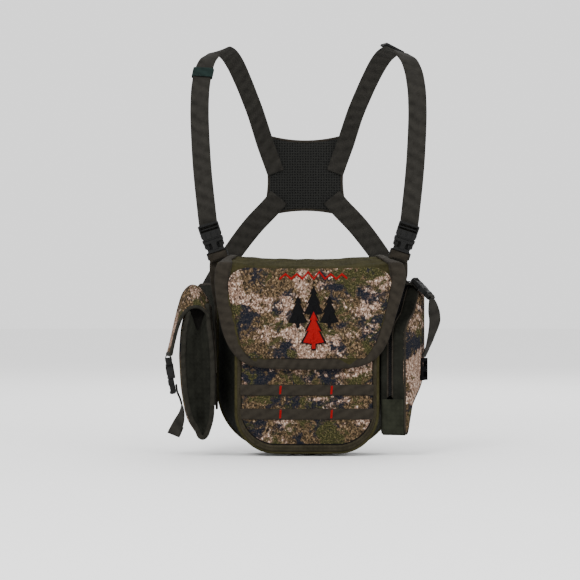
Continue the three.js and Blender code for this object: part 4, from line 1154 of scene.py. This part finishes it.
def left_gusset(word, edge, direction, rear_side, near_side):
    """A gusset that sinks in between the panels, a near-black sheet in its opening that paints the shade
    there, and the tape round its edge.
    """
    between = lambda z, gap: (np.interp(-z, -near_side[:, 1], near_side[:, 0]) + gap,
                              np.interp(-z, -rear_side[:, 1], rear_side[:, 0]) - gap)
    rows = []
    for z in np.linspace(50, -91.5, 64):
        xf, xb = between(z, 2.4)
        reach = min(1, (z + 95) / 22)
        row = []
        for t in np.linspace(0, 1, 25):
            hollow = math.sin(math.pi * t) ** 0.8
            centre = math.exp(-((t - 0.5) / 0.17) ** 2)
            deep = 2.4 + (5.5 * hollow + 5.0 * centre) * reach + ripple((t * 30, 0, z), 24, 0.8, 3)
            dip = 21 * math.sin(math.pi * t) ** 2 * max(0, (z - 5) / 45)
            row.append(left_place(xf + (xb - xf) * t, edge + direction * deep, z - dip))
        rows.append(row)
    sheet(f"left_gusset_cloth_{word}", rows, 1.3, "dark", "left_pouch", [f"left_gusset_{word}"], rim=0.2)
    # a near-black sheet inside the gusset's opening below the lid: painted shade
    opening_shade = [[left_place(x, edge + direction * (12 + 2 * math.sin(3 * t)), z)
               for t, x in zip(np.linspace(0, 1, 9), np.linspace(*between(z, 3), 9))]
              for z in np.linspace(55, 4, 15)]
    sheet(f"left_opening_shade_{word}", opening_shade, 0.8, "hook", "left_pouch")
    pulled = []
    for x, z in spread(np.concatenate([rear_side, near_side[::-1]]), 170):
        pulled.append((x + np.sign(-128 - x) * 1.6 * min(1, abs(x - LEAF_TIP[0]) / 8), z))
    line = [left_place(x, edge + direction * 2.2, z) for x, z in smoothed(np.array(pulled), 10)]
    tube(f"left_edge_tape_{word}", line, 2.6, "edge", "left_pouch", [f"left_binding_{word}"], 14, (1.1, 0.8))


def left_pouch():
    """The left pouch, whose panels and gussets narrow to a point below, and its two mounting tapes."""
    left_faces()
    rear_side = left_line(LEAF_BACK + [(-118.8, -93.6), LEAF_TIP], 75)
    near_side = left_line(LEAF_FRONT + [(-128.0, -93.6), LEAF_TIP], 75)
    left_gusset("front", LEFT_FRONT, 1, rear_side, near_side)
    left_gusset("rear", LEFT_REAR, -1, rear_side, near_side)
    for word, y in (("front", -60), ("rear", -26)):
        line = [left_place(x + 2.7, y, z) for x, z in LEAF_BACK[:4]]
        strap(f"left_mount_tape_{word}", line, [(0, 1, 0)] * 4, 18, "tape", "left_pouch",
              [f"left_mount_strap_{word}"], steps=30, cup=0.1)
    left_lid()
    left_closure()


def blend_over(near_body, far_body, start, end):
    """Where a piece turns from one body to the next, from millimetre points."""
    return near_body, far_body, *(tuple(c * MM for c in p) for p in (start, end))


def left_lid():
    """The arched lid: its front and rear edges droop to a lower arch, and tape binds them."""
    ridge, brow = (curve([(x, 0, z) for x, z in line], 60)[0] for line in (LID_ARCH, LID_BROW))
    half, middle = (LEFT_REAR - LEFT_FRONT) / 2, (LEFT_FRONT + LEFT_REAR) / 2
    rows, uvs = [], []
    for i, (high, low) in enumerate(zip(ridge, brow)):
        row, uv = [], []
        for a in np.linspace(-1, 1, 41):
            droop = max(0, (abs(a) - 0.3) / 0.7) ** 1.6
            x, _, z = high + (low - high) * droop
            z -= ripple((x, a * half, z), 24, 1.2, 2)
            row.append(left_place(x, middle + a * (half - 0.8), z))
            uv.append((a * half * 1.25, i / 60 * 118))
        rows.append(row)
        uvs.append(uv)
    rows = np.array(rows)
    joint = blend_over("left_pouch", "left_lid_flap", left_place(-116, -42, 62), left_place(-126, -42, 62))
    sheet("left_lid_cloth", rows, 3.4, "camo_left", joint, ["left_lid"], uv=uvs)
    for word, column in (("front", 0), ("rear", -1)):
        tube(f"left_lid_edge_{word}", spread(rows[:, column], 80), 2.7, "edge", joint, squash=(0.75, 1.1))
    tube("left_lid_edge_end", spread(rows[-1], 40), 2.6, "edge", "left_lid_flap", squash=(1.0, 0.9),
         up=(1, 0, 0))


def left_closure():
    """The buckle between lid and pouch, the loop that holds its socket and the tape with a loose end."""
    lean = math.radians(9.5)
    origin = np.array([-163.2, -42, -5.8])
    along = np.array([math.sin(lean), 0, -math.cos(lean)])
    inward = np.array([math.cos(lean), 0, math.sin(lean)])

    def place(u, v, w):
        return left_place(*(origin + np.array([0, -u, 0]) + inward * v + along * w))

    moulded("left_buckle", place, ("left_buckle_socket", "left_lid_flap"), ("left_buckle_plug", "left_pouch"))
    path = [(-5.6, 1.4), (-2.2, 3.3), (1.6, 3.3), (4.0, 2.2), (4.4, 0), (4.0, -2.2), (1.6, -3.3),
            (-2.2, -3.3), (-6.2, -1.4)]
    rows = [[place(u, v, w) for u in np.linspace(-7.2, 7.2, 7)] for w, v in spread(np.array(path), 40)]
    sheet("left_lid_loop_tape", rows, 1.3, "tape", "left_lid_flap", ["left_lid_loop"])
    end = origin + along * 30 + inward * 4.1
    line = [end, end + along * 9, (-150, -42, -50), (-148, -42, -57), (-148, -44, -67), (-151.5, -47, -79),
            (-157.5, -49, -93)]
    sides = [(0, 1, 0)] * 4 + [(-0.35, 0.9, 0), (-0.75, 0.6, 0.2), (-0.9, 0.35, 0.35)]
    line = [left_place(*p) for p in line]
    strap("left_closure_tape", line, sides, 15, "strap", "left_pouch", ["left_closure_webbing"])
    at, wide, normal, tangent = (v[-1] for v in strap_frame(line, sides, 90))
    hem = [[at - tangent * w + normal * 1.5 + wide * 7.4 * a for a in np.linspace(-1, 1, 5)]
           for w in (0, 3, 6, 9, 12)]
    sheet("left_closure_hem", hem, 1.4, "strap", "left_pouch")
    row = [at - tangent * 9.5 + normal * 2.4 + wide * 6 * a for a in np.linspace(-1, 1, 9)]
    solids("left_hem_stitches", seam(row, normal, 1.9, radius=0.32), "black", "left_pouch")


# ---- right pouch --------------------------------------------------------------------------
R_WIDTH, R_THICK, R_BOTTOM, R_TOP = 69, 31, -92, 84
R_SPLIT = 12  # the X of the zip, between the halves
R_SLOPE = 102  # the X + Z of the plane that cuts the upper front edge
R_STRAP = 55  # the Y of the strap down the front
R_ZIP_END = -51
R_TURN, R_CORNER = math.radians(-22), (84.5, -70.5)


def right_place(x, y, z):
    """The right pouch is turned towards the viewer: X is off its rear half, Y along its width."""
    c, s = math.cos(R_TURN), math.sin(R_TURN)
    return (R_CORNER[0] + x * c - y * s, R_CORNER[1] + x * s + y * c, z)


def pocket_outline(inset, count):
    """The pouch seen from the side, in Y and Z, counter-clockwise from its lower tip. It leans back."""
    w, low, top = R_WIDTH, R_BOTTOM, R_TOP
    t = np.linspace(0, 1, 24)[:, None]

    def cubic(*p):
        p0, p1, p2, p3 = (np.array(q, float) for q in p)
        return list((1 - t) ** 3 * p0 + 3 * t * (1 - t) ** 2 * p1 + 3 * t ** 2 * (1 - t) * p2 + t ** 3 * p3)

    line = bezier((6, low), (10, low), (14, low + 8), 10) + [np.array((14, low + 8))]
    line += cubic((22, -64), (34, -46), (w, -42), (w, -8))
    line += bezier((w, top - 8), (w, top), (w - 8, top), 10)
    line += bezier((w - 8, top), (w - 13, top), (w - 18, top - 7), 10)
    line += cubic((30, 50), (12, 41), (0, 36), (0, 20)) + bezier((0, low + 8), (0, low), (6, low), 10)
    line = spread_loop(np.array(line), count + 1)[:-1]
    for _ in range(2):
        line = (np.roll(line, 1, axis=0) + 2 * line + np.roll(line, -1, axis=0)) / 4
    along = np.roll(line, -1, axis=0) - np.roll(line, 1, axis=0)
    inward = np.stack([-along[:, 1], along[:, 0]], axis=1)
    return line + inward / np.linalg.norm(inward, axis=1, keepdims=True) * inset


def slope(x, y, z, inset=0.0):
    """Pulls a point back behind the pouch's sloping upper front edge."""
    over = x + z - (R_SLOPE - inset)
    if over > 0:
        return x - over / 2, y, z - over / 2
    return x, y, z


def band(x_values, outline, bulge, seed):
    """The pouch's wall between its back and its front, one row for each X."""
    centre = outline.mean(0)
    rows = []
    for x in x_values:
        row = []
        for y, z in outline:
            inward = centre - (y, z)
            inward /= np.linalg.norm(inward)
            pull = bulge(x) + ripple((x, y, z), 20, 0.7, seed)
            p = slope(x, y + inward[0] * pull, z + inward[1] * pull, 1.0)
            row.append(right_place(*p))
        rows.append(row)
    return rows


def cap_face(name, x, outline, look, body, crown, seed=0.0, thick=2.2, size=1.0):
    """A crowned face that closes the pouch at X."""
    centre = outline.mean(0)
    rows, uvs = [], []
    for s in list(np.linspace(0.0, 0.9, 15)) + [0.94, 0.97, 0.99, 1.0]:
        ring = centre + (outline - centre) * max(s, 1e-5) * size
        roll = 1.6 * max(0, (s - 0.9) / 0.1) ** 2 * np.sign(crown)
        out = lambda y, z: crown * (1 - s ** 2.4) - roll + ripple((y, z, 5), 24, 0.8, seed) * (s < 0.97)
        rows.append([right_place(*slope(x + out(y, z), y, z, 0.6 + 1.2 * s)) for y, z in ring])
        uvs.append(ring)
    return sheet(name, rows, thick, look, body, closed=True, uv=uvs, rim=0.1)


def right_halves(outline):
    """The walls of both halves, their faces and the piping round the front."""
    rear_x = [0.9, 2, 4, 6, 7.6, R_SPLIT - 3.6]
    front_x = [R_SPLIT + 3.6, 17.5, 20.5, 24.5, 28.6, R_THICK - 1.1]
    pinch = lambda x: 0.9 * math.exp(-((x - R_SPLIT) / 3.2) ** 2)
    for word, body, places, seed in (("rear", "right_pouch", rear_x, 1),
                                     ("front", "right_front", front_x, 4)):
        sheet(f"right_{word}_wall", band(places, outline, pinch, seed), 2.0, "dark", body,
              [f"right_{word}_shell"], closed=True, rim=0.2)
    cap_face("right_rear_face", 1.2, outline, "dark", "right_pouch", -0.6, seed=2)
    cap_face("right_front_face", R_THICK - 1.4, outline, "camo_side", "right_front", 3.4, seed=7, thick=2.4,
             size=0.995)
    inner = outline.mean(0) + (outline - outline.mean(0)) * 0.95
    cap_face("right_front_lining", R_THICK - 4.4, inner, "dark", "right_front", 3.0, seed=7, thick=0.8,
             size=0.97)
    welt = [right_place(*slope(R_THICK - 0.9, y, z, 0.4)) for y, z in spread_loop(outline, 220)]
    tube("right_front_piping", welt, 1.15, "tape", "right_front", sides=10, ends=False)


def right_lower_cloth(ring, centre):
    """The plain cloth below the zip, which joins both halves."""
    outward = (ring - centre) / np.linalg.norm(ring - centre, axis=1, keepdims=True)
    rows = []
    for x in np.linspace(2.4, R_THICK - 2.4, 17):
        row = []
        for (y, z), out in zip(ring, outward):
            lift = 1.55 - 0.4 * ripple((x, y, z), 18, 1.0, 8)
            row.append(right_place(x, y + out[0] * lift, z + out[1] * lift))
        rows.append(row)
    joint = blend_over("right_pouch", "right_front", right_place(4, 14, -75), right_place(22, 14, -75))
    sheet("right_lower_cloth", rows, 1.2, "greenish", joint)


def right_zip(up, centre):
    """The zip along a line: two tapes with coil teeth, and a lip beside each."""
    outward = (up - centre) / np.linalg.norm(up - centre, axis=1, keepdims=True)
    sunk = lambda x, deep, inset: [right_place(*slope(x, y - d[0] * deep, z - d[1] * deep, inset))
                                   for (y, z), d in zip(up, outward)]
    for word, body, hand in (("rear", "right_pouch", -1), ("front", "right_front", 1)):
        tape = sorted((hand * 3.4, hand * 0.2))
        rows = [sunk(x, 1.5, 0.6) for x in R_SPLIT + np.linspace(*tape, 4)]
        sheet(f"zip_tape_{word}", rows, 0.9, "hook", body, [f"right_zip_{word}"])
        teeth = []
        for k in range(0 if hand < 0 else 1, len(up) - 1, 2):
            (y, z), d = up[k], outward[k]
            t = (up[k + 1] - up[k]) / np.linalg.norm(up[k + 1] - up[k])
            place = lambda a, c, b: right_place(
                *slope(a, y + t[0] * b - d[0] * c, z + t[1] * b - d[1] * c, 0.6))
            ends = sorted((R_SPLIT + hand * 1.8, R_SPLIT - hand * 0.15))
            teeth.append(bar(place, *ends, 0.1, 1.3, -0.42, 0.42, 0.18))
        solids(f"zip_teeth_{word}", teeth, "zip", body)
        tube(f"zip_lip_{word}", sunk(R_SPLIT + hand * 3.1, 0.2, 0.4), 1.15, "tape", body, sides=10)
    dress("right_zip_slider", "zip", 0.4)
    dress("right_zip_pull", "zip", 0.4)


def right_pouch():
    """The right pouch. Round its outline, plain cloth takes the low part and the zip the rest."""
    count = 200
    outline = pocket_outline(1.1, count)
    centre = outline.mean(0)
    right_halves(outline)
    low = [i for i in range(count) if outline[i, 1] < R_ZIP_END + 1.5]
    start = [i for i in low if (i - 1) % count not in low][0]
    turned = np.roll(outline, -start, axis=0)
    right_lower_cloth(turned[:len(low)], centre)
    right_zip(spread(turned[len(low):], 260), centre)
    for word, y, bottom, top in (("front", 18, -56, 32), ("rear", 51, -26, 58)):
        rows = [[right_place(-1.1, y + a, z) for a in np.linspace(-9, 9, 7)]
                for z in np.linspace(top, bottom, 30)]
        sheet(f"right_mount_tape_{word}", rows, 1.5, "tape", "right_pouch", [f"right_mount_strap_{word}"])
    right_closure()


def right_closure():
    """The strap down the front half: a small buckle at the top, a clip below and the tape between them."""
    size, lean = 0.72, math.radians(45)
    origin = np.array([42.5, R_STRAP, 68])
    along = np.array([-math.cos(lean), 0, math.sin(lean)])
    inward = np.array([-math.sin(lean), 0, -math.cos(lean)])
    across = np.cross(inward, along)

    def place(u, v, w):
        return right_place(*(origin + size * (across * u + inward * v + along * w)))

    dress("right_strap_anchor", "dull_plastic", 0.7)
    moulded("right_buckle", place, ("right_buckle_socket", "right_front"),
            ("right_buckle_plug", "right_front"))
    behind = lambda up: tuple(origin + along * up + inward * (3 * size + 0.6 + 0.8))
    top = R_TOP + 1.1
    over = [behind(17), behind(20.5), behind(24), (20.6, R_STRAP, top), (17.8, R_STRAP, top + 0.4),
            (15, R_STRAP, top + 0.2)]
    zero = np.array(right_place(0, 0, 0))
    direction = lambda x, y: tuple(np.array(right_place(x, y, 0)) - zero)
    side = direction(0, 1)
    strap("right_top_tape", [right_place(*p) for p in over], [side] * 6, 13, "strap", "right_front",
          ["right_strap_top"], steps=30, cup=0.15)
    under = [(21, R_STRAP, top - 2.6), (17, R_STRAP, top - 2.2), (13, R_STRAP, top - 2.4)]
    strap("right_top_pad", [right_place(*p) for p in under], [side] * 3, 13, "strap", "right_front",
          thick=3.0, steps=12, cup=0.15)
    start = tuple(origin - along * 3.2)
    fall = [start, (46.2, R_STRAP, 58), (47.6, R_STRAP, 49), (48.4, R_STRAP, 40), (45, R_STRAP, 25),
            (40, R_STRAP, 9), (R_THICK + 3.6, R_STRAP, -2.6)]
    turns = [direction(*t)
             for t in ((0, 1), (0.5, 0.85), (0.85, 0.5), (0.8, 0.6), (0.35, 0.95), (0, 1), (0, 1))]
    strap("right_closure_tape", [right_place(*p) for p in fall], turns, 13, "strap", "right_front",
          ["right_closure_webbing"], steps=80)
    path = [(-5.4, -1.6), (-2.2, -3.5), (1.6, -3.4), (4.2, -2.2), (4.6, 0), (4.2, 2.2), (1.6, 3.4),
            (-2.2, 3.5), (-5.4, 1.6)]
    rows = [[place(u, v, w) for u in np.linspace(-8.8, 8.8, 7)] for w, v in spread(np.array(path), 36)]
    sheet("right_closure_loop", rows, 1.3, "strap", "right_front")


# ---- everything ---------------------------------------------------------------------------
main_gusset()
main_front()
main_back()
main_lid()
for hand in (-1, 1):
    shoulder(hand)
    wing(hand)
strap_pieces()
yoke()
left_pouch()
right_pouch()

# ---- floor and light ----------------------------------------------------------------------
floor_material = Material("floor", 0.9, 0.1)
FLOOR_TONE = (0.92, 0.92, 0.918)
floor_material.done(floor_material.ramp(floor_material.noise(floor_material.coordinates(), 3, 2),
                                        [(0.3, FLOOR_TONE), (0.7, tuple(c * 1.01 for c in FLOOR_TONE))]))
FLOOR_Z = -0.1165  # just below the lowest piece
bpy.ops.mesh.primitive_circle_add(vertices=96, radius=9, fill_type="NGON", location=(0, 0, FLOOR_Z))
floor = bpy.context.object
floor.name = "floor"
floor.data.materials.append(floor_material.material)

world = bpy.data.worlds.new("studio")
world.use_nodes = True
world.node_tree.nodes["Background"].inputs["Color"].default_value = (1, 1, 1, 1)
world.node_tree.nodes["Background"].inputs["Strength"].default_value = 1.5
bpy.context.scene.world = world


def area_light(name, place, target, size, power):
    """A round soft light that faces the target."""
    data = bpy.data.lights.new(name, "AREA")
    data.shape = "DISK"
    data.size = size
    data.energy = power
    light = bpy.data.objects.new(name, data)
    light.location = place
    light.rotation_euler = (Vector(target) - Vector(place)).to_track_quat("-Z", "Y").to_euler()
    bpy.context.scene.collection.objects.link(light)


area_light("key", (-1.1, -2.2, 1.9), (0, 0, 0.05), 1.3, 55)
area_light("fill", (1.6, -1.8, 0.9), (0, 0, 0.05), 1.6, 20)
area_light("rim", (0.4, 1.8, 1.6), (0, 0, 0.1), 1.4, 22)
